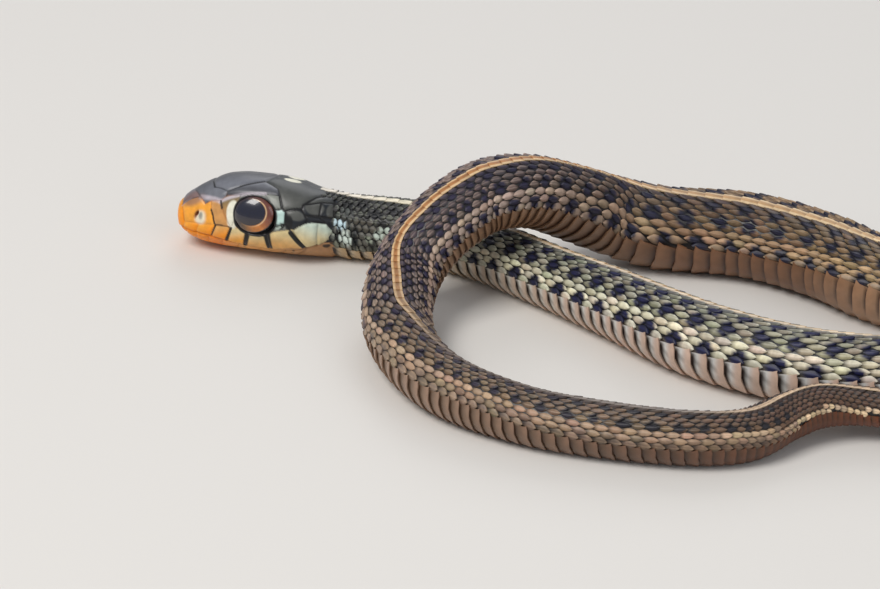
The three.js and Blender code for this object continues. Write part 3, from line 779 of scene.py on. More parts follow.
def bellyPiece():
    trunkNumbers = np.arange(body["trunkScutes"]) + 0.5
    tailNumbers = np.arange(body["trunkScutes"], len(scuteFronts) - 2) + 0.5
    numbers = np.concatenate([trunkNumbers, tailNumbers, tailNumbers])
    along = scuteAt(numbers)
    pitch = scuteAt(numbers + 0.5) - scuteAt(numbers - 0.5)
    sideways = np.repeat([0.0, 1.0, -1.0], [len(trunkNumbers), len(tailNumbers), len(tailNumbers)])
    onTail = sideways != 0
    half = 180 - edgeAt(along) + belly["under"]
    angle = np.pi + sideways * np.radians(half / 2)
    halfAngle = np.radians(np.where(onTail, half / 2 + 1, half))
    overlap = np.where(onTail, belly["tailOverlap"], belly["overlap"])
    lift = np.where(onTail, 0.0, lifts["scute"])
    x, y, _ = scutePlate["points"].T
    hollow = belly["hollow"] * np.exp(-((np.abs(y) - belly["lensAt"]) / belly["hollowWide"]) ** 2)
    hollow = hollow + belly["roundEnd"] * smooth(0.86, 1, np.abs(y))
    bow = np.ones((len(x), 3))   # hollow rear edge and round ends
    bow[:, 0] = 1 - hollow * smooth(0.2, 1, x)
    shaped = dict(scutePlate, points=scutePlate["points"] * bow)
    stamped = stamp(shaped, along, angle, pitch * overlap, halfAngle, lift)
    tone = scuteTones(along, x, y)
    perStrip = math.ceil(len(scuteFronts) / belly["strips"])
    index = np.floor(numbers).astype(int)
    line = (index // perStrip) * 2 + (sideways < 0)
    uv = cellUv(scutePlate, index % perStrip, line, perStrip, belly["strips"] * 2)
    return platePiece("bellyScutes", scutePlate, stamped, tone, uv)


bellyScutes = bellyPiece()


# Shields of the head. Corners are (distance from the snout in mm, degrees from the crown);
# a corner on the lip takes its angle from the line of the mouth.
def lipAngle(fromSnout):
    low = np.zeros(np.shape(fromSnout))
    high = np.full(np.shape(fromSnout), np.pi)
    for _ in range(30):
        middle = (low + high) / 2
        above = headPoint(fromSnout, middle)[..., 2] + jointHeight > mouthHeight(fromSnout)
        low = np.where(above, middle, low)
        high = np.where(above, high, middle)
    return np.degrees(low)


def lip(fromSnout):
    return (fromSnout, float(lipAngle(np.array(float(fromSnout)))))


corner = {
    "snoutTip": (0, 0), "snoutLip": lip(0.25), "rostralTop": (0.38, 0), "rostralShoulder": (0.5, 60),
    "rostralFoot": (0.85, 101), "rostralLip": lip(0.7), "internasalRear": (1.2, 0),
    "internasalBend": (1.35, 22), "internasalSide": (1.95, 54), "nasalCrest": (1.2, 51),
    "loreTop": (2.44, 71), "loreCrest": (2.89, 67), "loreMiddle": (2.95, 81), "loreLow": (3.15, 89),
    "preocularTop": (3.68, 70), "preocularBend": (3.82, 79), "preocularMiddle": (4.0, 86),
    "preocularLow": (4.25, 91), "eyeFront": (4.95, 84), "eyeRear": (7.95, 73),
    "eyeRearLow": (7.75, 93), "eyeLow": (5.3, 101), "frontalFront": (2.7, 0), "frontalBend": (2.66, 17),
    "frontalShoulder": (3.0, 41), "browFront": (4.13, 54), "browLow": (4.08, 62), "browEdge": (5.2, 60),
    "browEnd": (7.0, 52), "frontalWaist": (5.0, 45), "frontalSide": (5.78, 36),
    "frontalCorner": (6.74, 26), "frontalTip": (7.4, 0), "browBack": (7.83, 38), "postTop": (8.09, 50),
    "postUpper": (8.42, 70), "postMiddle": (8.7, 72), "postLower": (8.73, 88), "postFoot": (8.3, 97),
    "parietalDip": (9.83, 62), "parietalHip": (9.89, 54), "parietalSide": (10.64, 34),
    "parietalHeel": (11.3, 21), "parietalRear": (11.0, 0), "temporalBend": (10.1, 71),
    "temporalRear": (10.3, 77), "temporalFoot": (10.2, 83), "upperTemporal": (11.05, 42),
    "lowerTemporal": (11.1, 69), "napeSide": (11.96, 38), "napeLow": (12.08, 67), "napeTop": (11.75, 22),
    "labialTop1": (2.0, 99), "labialTop2": (3.31, 99), "labialTop3": (4.6, 101),
    "labialTop4": (5.95, 106), "labialTop5": (7.3, 102), "labialTop6": (9.35, 93),
    "labialTop7": (11.05, 79), "labialCrest": (10.39, 81), "labialShoulder": (11.6, 80),
    "labialRear": (12.05, 92), "labialHeel": (12.0, 103), "mouthCorner": (11.3, 116),
}
for number, fromSnout in enumerate([1.75, 2.95, 4.1, 5.5, 7.55, 10.25, 11], 1):   # between the lip shields
    corner[f"lip{number}"] = lip(fromSnout)
seen = {   # the head's tones
    "slate": (.30, .305, .325), "slateDark": (.21, .225, .235), "slateLight": (.43, .44, .47),
    "ridgeHighlight": (.78, .74, .77), "rust": (.96, .57, .005), "amber": (.93, .63, .20),
    "peach": (.85, .64, .36), "sand": (.80, .58, .33), "cream": (.84, .76, .56), "mint": (.74, .85, .82),
    "mintPale": (.78, .84, .78), "stone": (.52, .53, .50), "ash": (.32, .325, .31),
    "soot": (.09, .11, .135), "ink": (.015, .015, .02), "olive": (.46, .40, .27),
    "milk": (.93, .92, .84), "mauve": (.47, .38, .37), "umber": (.62, .34, .12),
    "chin": (.90, .50, .12), "throat": (.68, .50, .33), "jaw": (.86, .62, .34),
}
shields = {   # outline by corners, colour at its upper edge, colour at its lower edge
    "rostral": ("snoutTip rostralTop rostralShoulder rostralFoot rostralLip snoutLip", "amber", "rust"),
    "internasal": ("rostralTop rostralShoulder nasalCrest internasalSide internasalBend "
                   "internasalRear", "slateLight", "mauve"),
    "prefrontal": ("internasalRear internasalBend internasalSide loreTop loreCrest preocularTop "
                   "browLow browFront frontalShoulder frontalBend frontalFront", "slate", "slateLight"),
    "frontal": ("frontalFront frontalBend frontalShoulder browFront frontalWaist frontalSide "
                "frontalCorner frontalTip", "slate", "slateLight"),
    "supraocular": ("browFront browLow browEdge browEnd postTop browBack frontalCorner frontalSide "
                    "frontalWaist", "slateLight", "slate"),
    "parietal": ("frontalTip frontalCorner browBack postTop postUpper postMiddle parietalDip "
                 "parietalHip parietalSide parietalHeel parietalRear", "slateDark", "ash"),
    "nasal": ("rostralShoulder nasalCrest internasalSide loreTop loreCrest loreMiddle loreLow "
              "labialTop2 labialTop1 rostralFoot", "amber", "amber"),
    "loreal": ("loreCrest preocularTop preocularBend preocularMiddle preocularLow labialTop3 "
               "labialTop2 loreLow loreMiddle", "sand", "sand"),
    "preocular": ("preocularTop browLow browEdge eyeFront labialTop3 preocularLow preocularMiddle "
                  "preocularBend", "olive", "sand"),
    "upperPostocular": ("browEnd postTop postUpper eyeRear", "stone", "stone"),
    "middlePostocular": ("eyeRear postUpper postMiddle postLower eyeRearLow", "mint", "mint"),
    "lowerPostocular": ("eyeRearLow postLower postFoot labialTop5", "mintPale", "stone"),
    "temporal": ("postMiddle parietalDip temporalBend temporalRear temporalFoot labialTop6 "
                 "postLower", "soot", "soot"),
    "upperTemporal": ("parietalHip upperTemporal lowerTemporal temporalBend "
                      "parietalDip", "soot", "soot"),
    "rearTemporal": ("upperTemporal napeSide napeLow lowerTemporal", "soot", "soot"),
    "crownTemporal": ("parietalSide parietalHeel napeTop napeSide upperTemporal "
                      "parietalHip", "slateDark", "ash"),
    "lowTemporal": ("temporalBend lowerTemporal labialShoulder labialTop7 labialCrest temporalFoot "
                    "temporalRear", "soot", "soot"),
    "labial1": ("rostralFoot labialTop1 lip1 rostralLip", "amber", "rust"),
    "labial2": ("labialTop1 labialTop2 lip2 lip1", "amber", "rust"),
    "labial3": ("labialTop2 labialTop3 lip3 lip2", "peach", "rust"),
    "labial4": ("labialTop3 eyeLow labialTop4 lip4 lip3", "cream", "amber"),
    "labial5": ("labialTop4 labialTop5 lip5 lip4", "cream", "peach"),
    "labial6": ("labialTop5 postFoot labialTop6 lip6 lip5", "cream", "peach"),
    "labial7": ("labialTop6 temporalFoot labialCrest labialTop7 lip7 lip6", "mintPale", "cream"),
    "labial8": ("labialTop7 labialShoulder labialRear labialHeel mouthCorner lip7", "mintPale", "cream"),
}
eyeRim = {"fromSnout": 6.45, "degrees": 83.7, "halfLength": 1.52, "halfDegrees": 24}
bars = [   # dark bars down the lip, the places they pass, half width in mm at the top and at the foot
    ([(3.35, 101), (3.05, 120)], 0.11, 0.09), ([(4.58, 103), (4.2, 129)], 0.12, 0.17),
    ([(5.9, 106), (5.6, 137)], 0.22, 0.19), ([(7.38, 103), (7.47, 120), (7.55, 136)], 0.28, 0.22),
    ([(9.22, 98), (9.6, 109), (10.05, 122)], 0.23, 0.25),
]
darkLines = [   # the black seams, the places they pass, half width in mm and strength
    (["loreMiddle", "loreLow", (3.3, 97)], 0.06, .9), (["preocularTop", "preocularBend"], 0.09, .9),
    (["loreLow", "labialTop2", "labialTop3"], 0.05, .75), (["frontalBend", "frontalShoulder"], 0.07, .8),
    (["frontalWaist", "frontalSide", "frontalCorner"], 0.09, .9),
    (["frontalShoulder", "browFront"], 0.04, .45), (["browFront", "frontalWaist"], 0.05, .6),
    (["browFront", "browLow"], 0.05, .7), (["postTop", "postUpper", "postMiddle"], 0.1, .95),
    (["eyeRear", "postUpper"], 0.06, .9), (["postMiddle", "parietalDip"], 0.11, 1),
    (["parietalDip", "parietalHip", "parietalSide"], 0.07, .95),
]
paintedRidgeHighlights = [   # painted highlights along the ridges from the nostril to the brow, with half width in mm
    (["rostralShoulder", "nasalCrest"], 0.07), (["internasalSide", "preocularTop"], 0.15),
    (["preocularTop", "browEnd"], 0.14),
]
chinSeams = [
    [(1.2, 180), (6.6, 180), (6.6, 166), (1.7, 160), (1.2, 180)], [(4.0, 180), (4.2, 163)],
]
smallMarks = [   # place, degrees from the crown, half length, half degrees, tone, strength, soft edge
    (8.55, 8, 0.62, 6.5, "milk", 1, .14), (1.45, 58, 0.8, 12, "mauve", .7, .5),
    (2.12, 90, 0.42, 9, "milk", .85, .4), (2.15, 87, 0.16, 4, "stone", .9, .5),
    (4.72, 85.5, 0.5, 17, "milk", 1, .1), (9.45, 74, 0.62, 7.5, "ash", 1, .16),
    (10.66, 55, 0.66, 12, "ash", 1, .14), (11.85, 56, 0.36, 13, "ash", 1, .14),
    (9.0, 85, 0.3, 9, "ink", .95, .2), (5.5, 147, 0.12, 3, "ink", .7, .14),
    (9.25, 137, 0.1, 3, "ink", .7, .14), (9.1, 148, 0.12, 3, "ink", .6, .14),
    (11.65, 120, 0.28, 4, "ink", .9, .2), (12.1, 114, 0.22, 5, "ink", .85, .2),
]
labialEdge = [corner[name] for name in (
    "rostralFoot labialTop1 labialTop2 labialTop3 labialTop4 labialTop5 labialTop6 "
    "labialCrest labialShoulder").split()]
lowerLip = [0.95, 1.8, 2.8, 3.9, 5.2, 6.9, 8.8, 10.3]
relief = {   # of the head's skin, in mm
    "shield": 0.035, "seam": 0.055, "seamWide": 0.06, "mouth": 0.12, "mouthWide": 0.07, "lip": 0.05,
    "eyeRidge": 0.07, "eyeHollow": 0.62,
}
nostril = {"fromSnout": 1.74, "degrees": 86, "radius": 0.12, "depth": 0.3, "long": 0.1, "tilt": -2}


def flatHead():   # flattens the head: distance along its skin, and round it, in mm
    table = np.concatenate([np.linspace(0, 0.6, 60), np.linspace(0.61, head["length"], 300)])
    ringAngles = np.linspace(-np.pi, np.pi, 181)
    ringPoints = headPoint(table[:, None], ringAngles[None])
    around = np.linalg.norm(np.diff(ringPoints, axis=1), axis=2).sum(1) / (2 * np.pi)
    shoulder = headPoint(table, np.full(len(table), 1.0))
    along = np.concatenate([[0], np.cumsum(np.linalg.norm(np.diff(shoulder, axis=0), axis=1))])

    def flat(fromSnout, angle):
        return np.interp(fromSnout, table, along), np.interp(fromSnout, table, around) * angle
    return flat


flatten = flatHead()


def flatCorner(place):   # a corner's name, or a place of its own
    fromSnout, degrees = corner[place] if isinstance(place, str) else place
    x, y = flatten(fromSnout, math.radians(degrees))
    return np.array([float(x), float(y)])


def lineDistance(x, y, a, b):   # from points to the stretch a-b on the flattened head
    way = b - a
    t = np.clip(((x - a[0]) * way[0] + (y - a[1]) * way[1]) / (way @ way + 1e-12), 0, 1)
    return np.hypot(x - a[0] - t * way[0], y - a[1] - t * way[1])


def pathDistance(x, y, places):
    passed = [flatCorner(place) for place in places]
    return np.minimum.reduce([lineDistance(x, y, a, b) for a, b in zip(passed, passed[1:])])


def inside(x, y, outline):
    odd = np.zeros(x.shape, bool)
    for a, b in zip(outline, outline[1:] + outline[:1]):
        crosses = (a[1] > y) != (b[1] > y)
        odd ^= crosses & (x < (b[0] - a[0]) * (y - a[1]) / (b[1] - a[1] + 1e-12) + a[0])
    return odd


def hasSeam(name, start, end):   # the lip and the middle of the crown have none
    onCrown = corner[start][1] == 0 and corner[end][1] == 0
    onLip = all(place.startswith(("lip", "rostralLip")) for place in (start, end))
    return not onLip and not (onCrown and name in ("frontal", "rostral"))


def headSeams(x, y):   # how far every place is from the nearest seam, and from the line of the mouth
    seam = np.full(x.shape, 9.0)
    for name, (words, _, _) in shields.items():
        names = words.split()
        for start, end in zip(names, names[1:] + names[:1]):
            if hasSeam(name, start, end):
                seam = np.minimum(seam, pathDistance(x, y, [start, end]))
    for at in lowerLip:
        _, high = lip(at)
        seam = np.minimum(seam, pathDistance(x, y, [lip(at), (at * 0.92, high + 0.55 * (180 - high))]))
    for places in chinSeams:
        seam = np.minimum(seam, pathDistance(x, y, places))
    lipPlaces = np.concatenate([[0.22, 0.3, 0.42, 0.55, 0.75], np.arange(1, 11.2, 0.4)])
    return seam, pathDistance(x, y, [lip(place) for place in lipPlaces])


def headLook(fromSnout, angle):   # colour and lift of the head's skin
    turned = np.abs(angle)
    degrees = np.degrees(turned)
    x, y = flatten(fromSnout, turned)
    seam, lipSeam = headSeams(x, y)
    color = {name: paint(*value) for name, value in seen.items()}
    tone = np.ones(x.shape + (3,)) * color["jaw"]
    for name, start, full in [("throat", 6, 10.5), ("chin", 5.5, 3.2), ("rust", 3.8, 1.6)]:
        tone = mix(tone, color[name], smooth(start, full, fromSnout))
    tone[(degrees < 99) & (fromSnout > 4.9)] = color["stone"]   # what the shields leave round the eye
    tone[(degrees < 113) & (fromSnout > 9)] = color["soot"]   # and before the first scales
    for words, upper, lower in shields.values():
        outline = [flatCorner(place) for place in words.split()]
        top = min(place[1] for place in outline)
        low = max(place[1] for place in outline)
        share = smooth(0.1, 0.75, (y - top) / (low - top))
        shield = mix(np.ones(tone.shape) * color[upper], color[lower], share)
        tone = np.where(inside(x, y, outline)[..., None], shield, tone)

    # painted highlights along the ridges of the snout and the brow
    for places, width in paintedRidgeHighlights:
        near = pathDistance(x, y, places)
        tone = mix(tone, color["ridgeHighlight"], 0.8 * smooth(width * 1.6, width * 0.3, near))
    for place, middle, long, tall, name, strength, soft in smallMarks:
        away = np.hypot((fromSnout - place) / long, (degrees - middle) / tall)
        tone = mix(tone, color[name], strength * smooth(1 + soft, 1 - soft, away))

    # seams, faint on the snout and dark on the temple, then the black ones and the bars
    onLip = smooth(-4, 0, degrees - np.interp(fromSnout, *zip(*labialEdge)))
    onTemple = smooth(7.3, 8.6, fromSnout) * smooth(20, 34, degrees)
    thick = 0.07 + 0.05 * onTemple * (1 - onLip)
    onCrown = np.maximum(smooth(62, 52, degrees), smooth(4.2, 5.0, fromSnout))
    seamTone = mix(np.ones(tone.shape) * color["umber"], color["ink"], onCrown)
    strength = (0.4 + 0.6 * onTemple) * (1 - 0.7 * onLip)
    tone = mix(tone, seamTone, strength * smooth(thick, thick * 0.35, seam))
    for places, width, strength in darkLines:
        near = pathDistance(x, y, places)
        tone = mix(tone, color["ink"], strength * smooth(width * 1.2, width * 0.7, near))
    for places, topWidth, footWidth in bars:
        top, foot = flatCorner(places[0])[1], flatCorner(places[-1])[1]
        width = topWidth + (footWidth - topWidth) * np.clip((y - top) / (foot - top), 0, 1)
        near = pathDistance(x, y, places)
        tone = mix(tone, color["ink"], smooth(width * 1.15, width * 0.8, near))
    tone = mix(tone, color["ink"], 0.3 * smooth(0.09, 0.03, lipSeam) * smooth(0.4, 2.5, fromSnout))
    eyeShare = np.hypot((fromSnout - eyeRim["fromSnout"]) / eyeRim["halfLength"],
                        (degrees - eyeRim["degrees"]) / eyeRim["halfDegrees"])
    tone = mix(tone, color["ink"], smooth(1.15, 1.09, eyeShare))
    place, high, wide = nostril["fromSnout"], nostril["degrees"], nostril["radius"]
    fromNostril = pathDistance(x, y, [(place, high), (place + nostril["long"], high + nostril["tilt"])])
    # the nostril's opening is darkened as painted shade in its hollow
    tone = mix(tone, paint(.45, .20, .05), smooth(wide * 1.4, wide * 0.8, fromNostril))
    tone = neckTonesAndShade(fromSnout - head["length"], angle, tone)

    # shields stand up between their seams, the upper lip swells, the eye and the nostril are sunk
    lift = relief["shield"] * smooth(0, 0.35, seam)
    lift = lift - relief["seam"] * np.exp(-(seam / relief["seamWide"]) ** 2)
    lift = lift - relief["mouth"] * np.exp(-(lipSeam / relief["mouthWide"]) ** 2)
    aboveLip = (degrees < lipAngle(fromSnout)) & (fromSnout < 11.3)
    swelling = smooth(0.0, 0.12, lipSeam) * smooth(1.2, 0.3, lipSeam)
    lift = lift + np.where(aboveLip, relief["lip"] * swelling, 0)
    lift = lift + relief["eyeRidge"] * np.exp(-((eyeShare - 1.08) / 0.06) ** 2)
    lift = lift - relief["eyeHollow"] * smooth(1.02, 0.9, eyeShare)
    lift = lift - nostril["depth"] * np.exp(-(fromNostril / wide) ** 2)
    return np.clip(tone, 0, 1), lift


# The skin: the head in full, and the body's core under the scales, in one closed surface
skin = {
    "headColumns": 224, "bodyColumns": 56, "headRows": 196, "core": 0.13, "ringStep": 0.42, "strips": 8,
}
sheet = {   # the skin's bake map: the head below, the body in strips, the loose faces on top
    "margin": 0.01, "headLong": 0.98, "headHigh": 0.47, "bodyFrom": 0.51, "bodyLong": 0.97,
    "stripStep": 0.055, "stripHigh": 0.05, "looseFrom": 0.965, "looseCells": 977,
}


def roundAngles(columns):
    return np.pi * (2 * np.arange(columns) / columns - 1)


def ringFaces(first, ringCount, columns):   # rings of faces round the head or the body
    faces = []
    for r in range(ringCount - 1):
        a = first + r * columns
        for c in range(columns):
            d = (c + 1) % columns
            faces.append([a + c, a + columns + c, a + columns + d, a + d])
    return faces


def skinPiece():
    startRows = np.array([0, 0.01, 0.03, 0.06, 0.1, 0.15, 0.21, 0.28, 0.35])
    headRows = np.concatenate([startRows, np.linspace(0.41, head["length"] - 0.02, skin["headRows"])])
    columns = skin["headColumns"]
    fromSnout, angle = np.meshgrid(headRows, roundAngles(columns), indexing="ij")
    tone, lift = headLook(fromSnout, angle)
    lift = lift - skin["core"] * smooth(-0.5, 0.0, fromSnout - head["length"])
    headPoints = headSurface(fromSnout, angle, lift)

    coreColumns = skin["bodyColumns"]
    bodyRows = np.arange(0.25, bodyLength, skin["ringStep"])
    along, coreAngle = np.meshgrid(bodyRows, roundAngles(coreColumns), indexing="ij")
    core = -skin["core"] * radiusAt(along) / body["fullRadius"]
    bodyPoints = tubePoint(along, coreAngle, core)
    under = smooth(-0.02, 0.1, np.abs(coreAngle) - np.radians(edgeAt(along)))
    # between the scales the core shows dark skin, darkened further as painted shade; under the belly it
    # takes the scutes' tone
    bodyTone = mix(coatTone("gap", along), coatTone("scute", along), under)

    snout = headPoints[0].mean(0) + 0.02 * -jointWay
    tail = axisPoint(np.array(bodyLength)) + 0.12 * placeAt(np.array(bodyLength))[1]
    points = np.vstack([headPoints.reshape(-1, 3), bodyPoints.reshape(-1, 3), snout, tail])
    tones = np.vstack([tone.reshape(-1, 3), bodyTone.reshape(-1, 3), tone[0, :1], bodyTone[-1, :1]])

    faces = ringFaces(0, len(headRows), columns)
    bodyFirst = len(headRows) * columns
    lastHead = bodyFirst - columns
    fan = columns // coreColumns
    for c in range(coreColumns):   # four of the head's columns go into one of the core's
        d = (c + 1) % coreColumns
        for f in range(fan):
            near = lastHead + c * fan + f
            far = lastHead + (c * fan + f + 1) % columns
            faces.append([near, bodyFirst + (c if f < fan // 2 else d), far])
        faces.append([lastHead + c * fan + fan // 2, bodyFirst + c, bodyFirst + d])
    faces.extend(ringFaces(bodyFirst, len(bodyRows), coreColumns))
    snoutIndex = len(points) - 2
    for c in range(columns):
        faces.append([snoutIndex, c, (c + 1) % columns])
    lastBody = bodyFirst + (len(bodyRows) - 1) * coreColumns
    for c in range(coreColumns):
        faces.append([lastBody + (c + 1) % coreColumns, lastBody + c, snoutIndex + 1])
    return points, faces, tones, headRows, bodyRows


def cellsOf(face, first, columns):   # ring and column of each corner, not torn where a ring closes
    cells = [((vert - first) // columns, (vert - first) % columns) for vert in face]
    across = [c for _, c in cells]
    wraps = max(across) - min(across) > columns / 2
    return [(r, c + columns if wraps and c < columns / 2 else c) for r, c in cells]


def skinUv(faces, headRows, bodyRows):   # half the bake map is the head, the rest the body in strips
    columns, coreColumns = skin["headColumns"], skin["bodyColumns"]
    bodyFirst = len(headRows) * columns
    perStrip = math.ceil(len(bodyRows) / skin["strips"])
    margin = sheet["margin"]
    uv = []
    for face in faces:
        if max(face) < bodyFirst:
            for r, c in cellsOf(face, 0, columns):
                uv.append((margin + sheet["headLong"] * r / len(headRows),
                           margin + sheet["headHigh"] * c / columns))
        elif min(face) >= bodyFirst and max(face) < bodyFirst + len(bodyRows) * coreColumns:
            cells = cellsOf(face, bodyFirst, coreColumns)
            strip = min(r for r, _ in cells) // perStrip
            for r, c in cells:
                uv.append((margin + sheet["bodyLong"] * (r - strip * perStrip) / (perStrip + 1),
                           sheet["bodyFrom"] + sheet["stripStep"] * strip
                           + sheet["stripHigh"] * c / coreColumns))
        else:   # the few small faces of the joint and of both tips
            number = len(uv) % sheet["looseCells"]
            for k in range(len(face)):
                uv.append((margin + 0.001 * number + 0.0004 * (k % 2),
                           sheet["looseFrom"] + 0.01 * (k // 2)))
    return np.array(uv)


print("laying the skin")
skinPoints, skinFaces, skinTones, headRows, bodyRows = skinPiece()
skinMap = skinUv(skinFaces, headRows, bodyRows)
snakeSkin = newPiece("snakeSkin", skinPoints, skinFaces, skinTones, skinMap)
print("snakeSkin", len(skinFaces), "faces")


# Eyes: one glossy ball each, its pole looking out, a little up and forward
gaze = {
    "up": 12, "forward": 13, "segments": 96, "ringCount": 128, "pupil": 0.47, "goldFrom": 0.03,
    "goldWide": 0.02, "rim": 0.78, "rimSoft": 0.04,
}
irisTones = [   # degrees round from the rear of the eye, upwards, the iris, strength of the gold ring; from 110 to 225 degrees, at the front of the eye, iris and gold ring are darkened as painted shade
    (0, (.42, .21, .16), .9), (40, (.42, .22, .17), .9), (75, (.33, .19, .16), .4),
    (110, (.16, .11, .14), 0), (180, (.09, .07, .12), 0), (225, (.14, .11, .12), 0),
    (250, (.40, .27, .11), .1), (275, (.70, .42, .11), .2), (300, (.78, .46, .13), .6),
    (330, (.56, .29, .15), .9), (360, (.42, .21, .16), .9),
]


def eyeTones(places, look):   # pupil, gold ring, iris and dark rim, from the pole outwards
    out = np.arccos(np.clip(places @ look, -1, 1)) / (np.pi / 2)
    across = places - (places @ look)[:, None] * look
    around = np.degrees(np.arctan2(across[:, 2], -across[:, 0])) % 360
    degrees = [row[0] for row in irisTones]
    iris = np.array([paint(*row[1]) for row in irisTones])
    tone = np.stack([np.interp(around, degrees, iris[:, i]) for i in range(3)], -1)
    gold = np.interp(around, degrees, [row[2] for row in irisTones])
    gold = gold * np.exp(-((out - gaze["pupil"] - gaze["goldFrom"]) / gaze["goldWide"]) ** 2)
    tone = mix(tone, paint(.92, .78, .58), gold)
    # a dark pupil, navy above and plum below: painted reflections of the sky and the ground
    navy = np.ones(tone.shape) * paint(.02, .035, .14)
    pupil = mix(navy, paint(.09, .045, .09), smooth(0.1, -0.4, places[:, 2]))
    tone = mix(pupil, tone, smooth(gaze["pupil"] - 0.015, gaze["pupil"] + 0.01, out))
    return mix(tone, paint(.01, .01, .015), smooth(gaze["rim"] - gaze["rimSoft"], gaze["rim"], out))


def eyePiece(name, sideways):
    long, out, high = eye["radii"]
    forward = head["length"] - eye["fromSnout"]
    centre = metres(headPlace(forward, sideways * eye["out"], eye["height"] - jointHeight))
    up, ahead = math.radians(gaze["up"]), math.radians(gaze["forward"])
    look = unit(np.array([math.sin(ahead), sideways * math.cos(up), math.sin(up)]))
    bpy.ops.object.select_all(action="DESELECT")
    bpy.ops.mesh.primitive_uv_sphere_add(segments=gaze["segments"], ring_count=gaze["ringCount"], radius=1)
    ball = bpy.context.object
    ball.name = name
    ball.data.name = name
    ball.data.transform(Vector((0, 0, 1)).rotation_difference(Vector(look)).to_matrix().to_4x4())
    places = np.array([vert.co[:] for vert in ball.data.vertices])
    setTone(ball.data, eyeTones(places, look))
    stretch = Matrix.Diagonal((long * mm, out * mm, high * mm, 1))
    basis = Matrix([[*headBasis[:, i], 0] for i in range(3)] + [[0, 0, 0, 1]])
    ball.data.transform(Matrix.Translation(Vector(centre)) @ basis @ stretch)
    onlyActive(ball)
    bpy.ops.object.shade_smooth()
    print(name, len(ball.data.polygons), "faces")
    return ball


eyeLeft = eyePiece("eyeLeft", 1)
eyeRight = eyePiece("eyeRight", -1)


# Materials
print("mixing the materials")


def nodeGroup(name, inputs, outputs):
    group = bpy.data.node_groups.new(name, "ShaderNodeTree")
    for label, kind, value in inputs:
        socket = group.interface.new_socket(name=label, in_out="INPUT", socket_type=kind)
        socket.default_value = value
    for label, kind in outputs:
        group.interface.new_socket(name=label, in_out="OUTPUT", socket_type=kind)
    return group, group.nodes.new("NodeGroupInput"), group.nodes.new("NodeGroupOutput")


def addNode(tree, kind, values=None):
    node = tree.nodes.new("ShaderNode" + kind)
    for label, value in (values or {}).items():
        node.inputs[label].default_value = value
    return node


def join(tree, start, output, end, socket):
    tree.links.new(start.outputs[output], end.inputs[socket])


def addMultiply(tree):
    node = addNode(tree, "Mix")
    node.data_type = "RGBA"
    node.blend_type = "MULTIPLY"
    return node


def addTone(tree):   # the tones that every piece carries
    node = addNode(tree, "Attribute")
    node.attribute_name = "tone"
    return node


def coatGrainGroup():   # mottling of the colour and fine grain of the surface, for skin and scales alike
    group, given, result = nodeGroup("coatGrain", [
        ("Color", "NodeSocketColor", (1, 1, 1, 1)), ("Mottle", "NodeSocketFloat", 0.2),
        ("Size", "NodeSocketFloat", 3000.0), ("Gloss", "NodeSocketFloat", 0.45),
    ], [("Color", "NodeSocketColor"), ("Roughness", "NodeSocketFloat"), ("Height", "NodeSocketFloat")])
    where = addNode(group, "TexCoord")
    blotch = addNode(group, "TexNoise", {"Detail": 4})
    spread = addNode(group, "MapRange", {"From Min": 0.3, "From Max": 0.7, "To Min": 0.55, "To Max": 1.4})
    shade = addMultiply(group)
    fine = addNode(group, "TexNoise", {"Scale": 14000, "Detail": 3})
    sheen = addNode(group, "Math")
    sheen.operation = "MULTIPLY_ADD"
    sheen.inputs[1].default_value = 0.16
    join(group, where, "Object", blotch, "Vector")
    join(group, given, "Size", blotch, "Scale")
    join(group, blotch, "Fac", spread, "Value")
    join(group, given, "Mottle", shade, "Factor")
    join(group, given, "Color", shade, "A")
    join(group, spread, "Result", shade, "B")
    join(group, shade, "Result", result, "Color")
    join(group, where, "Object", fine, "Vector")
    join(group, fine, "Fac", result, "Height")
    join(group, blotch, "Fac", sheen, 0)
    join(group, given, "Gloss", sheen, 2)
    join(group, sheen, 0, result, "Roughness")
    return group


coatGrain = coatGrainGroup()
coatLooks = {
    "scaleCoat": {"Mottle": 0.35, "Size": 2600, "Gloss": 0.38, "bump": 0.35, "specular": 0.45},
    "scuteCoat": {"Mottle": 0.25, "Size": 1500, "Gloss": 0.30, "bump": 0.2, "specular": 0.5},
    "headCoat": {"Mottle": 0.3, "Size": 1800, "Gloss": 0.30, "bump": 0.25, "specular": 0.5},
}


def newMaterial(name):
    material = bpy.data.materials.new(name)
    material.use_nodes = True
    tree = material.node_tree
    return material, tree, tree.nodes["Principled BSDF"]


def coatMaterial(name):
    material, tree, shader = newMaterial(name)
    look = coatLooks[name]
    shader.inputs["Specular IOR Level"].default_value = look["specular"]
    tone = addTone(tree)
    grain = addNode(tree, "Group")
    grain.node_tree = coatGrain
    for label in ("Mottle", "Size", "Gloss"):
        grain.inputs[label].default_value = look[label]
    bump = addNode(tree, "Bump", {"Strength": look["bump"], "Distance": 0.00002})
    join(tree, tone, "Color", grain, "Color")
    join(tree, grain, "Color", shader, "Base Color")
    join(tree, grain, "Roughness", shader, "Roughness")
    join(tree, grain, "Height", bump, "Height")
    join(tree, bump, "Normal", shader, "Normal")
    return material


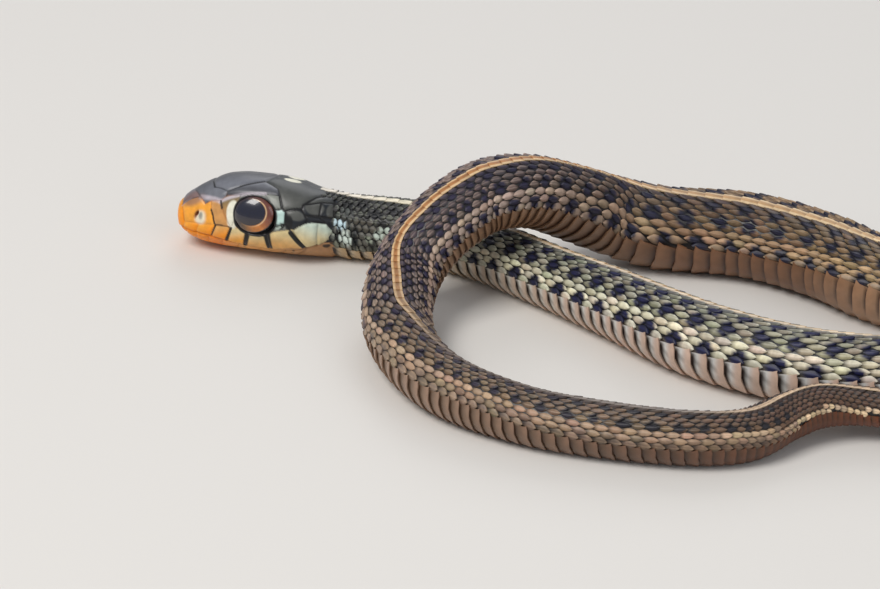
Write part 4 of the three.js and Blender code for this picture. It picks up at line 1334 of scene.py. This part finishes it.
def eyeMaterial():
    material, tree, shader = newMaterial("eyeGlass")
    shader.inputs["Roughness"].default_value = 0.25
    shader.inputs["Coat Weight"].default_value = 1.0
    shader.inputs["Coat Roughness"].default_value = 0.06
    where = addNode(tree, "TexCoord")
    fleck = addNode(tree, "TexNoise", {"Scale": 4200, "Detail": 5})
    flecks = addNode(tree, "MapRange", {"To Min": 0.6, "To Max": 1.4})
    tone = addTone(tree)
    shade = addMultiply(tree)
    shade.inputs["Factor"].default_value = 1
    join(tree, where, "Object", fleck, "Vector")
    join(tree, fleck, "Fac", flecks, "Value")
    join(tree, tone, "Color", shade, "A")
    join(tree, flecks, "Result", shade, "B")
    join(tree, shade, "Result", shader, "Base Color")
    return material


scaleCoat, scuteCoat, headCoat = [coatMaterial(name) for name in coatLooks]
eyeGlass = eyeMaterial()

coatPieces = [(piece, scaleCoat) for piece in (
    backScales, stripeScales, leftUpperScales, leftLowerScales, rightUpperScales, rightLowerScales)]
for piece, material in [*coatPieces, (bellyScutes, scuteCoat), (snakeSkin, headCoat)]:
    piece.data.materials.append(material)
    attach(piece, "root")
for ball in (eyeLeft, eyeRight):
    ball.data.materials.append(eyeGlass)
    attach(ball, "root")

flesh = [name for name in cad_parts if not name.startswith("eye_")]
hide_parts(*flesh)
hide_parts("eye_left")
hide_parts("eye_right")


# Floor and soft studio light
studio = {"floor": 3, "floorTone": (.86, .85, .83), "sky": (0.92, 0.94, 1.0, 1), "skyPower": 0.42}
lamps = {   # place, size, power, tint
    "keyLight": ((-0.22, -0.16, 0.40), 0.24, 1.5, (1.0, 0.97, 0.94)),
    "fillLight": ((0.35, -0.35, 0.28), 0.35, 0.45, (0.95, 0.97, 1.0)),
    "rimLight": ((0.05, 0.42, 0.30), 0.30, 0.5, (1.0, 1.0, 1.0)),
}


def setFloor():
    bpy.ops.object.select_all(action="DESELECT")
    bpy.ops.mesh.primitive_plane_add(size=studio["floor"], location=(0, 0, 0))
    floor = bpy.context.object
    floor.name = "floor"
    material, _, shader = newMaterial("paleFloor")
    shader.inputs["Base Color"].default_value = (*paint(*studio["floorTone"]), 1)
    shader.inputs["Roughness"].default_value = 0.75
    floor.data.materials.append(material)


def softLight(name, place, size, power, tint):
    bpy.ops.object.light_add(type="AREA", location=place)
    lamp = bpy.context.object
    lamp.name = name
    lamp.data.size = size
    lamp.data.energy = power
    lamp.data.color = tint
    lamp.rotation_euler = (-Vector(place)).to_track_quat("-Z", "Y").to_euler()


def setSky():
    world = bpy.data.worlds.new("studio")
    world.use_nodes = True
    background = world.node_tree.nodes["Background"]
    background.inputs["Color"].default_value = studio["sky"]
    background.inputs["Strength"].default_value = studio["skyPower"]
    bpy.context.scene.world = world
    bpy.context.scene.view_settings.view_transform = "Standard"


print("setting the floor and the lights")
setFloor()
for name, lamp in lamps.items():
    softLight(name, *lamp)
setSky()
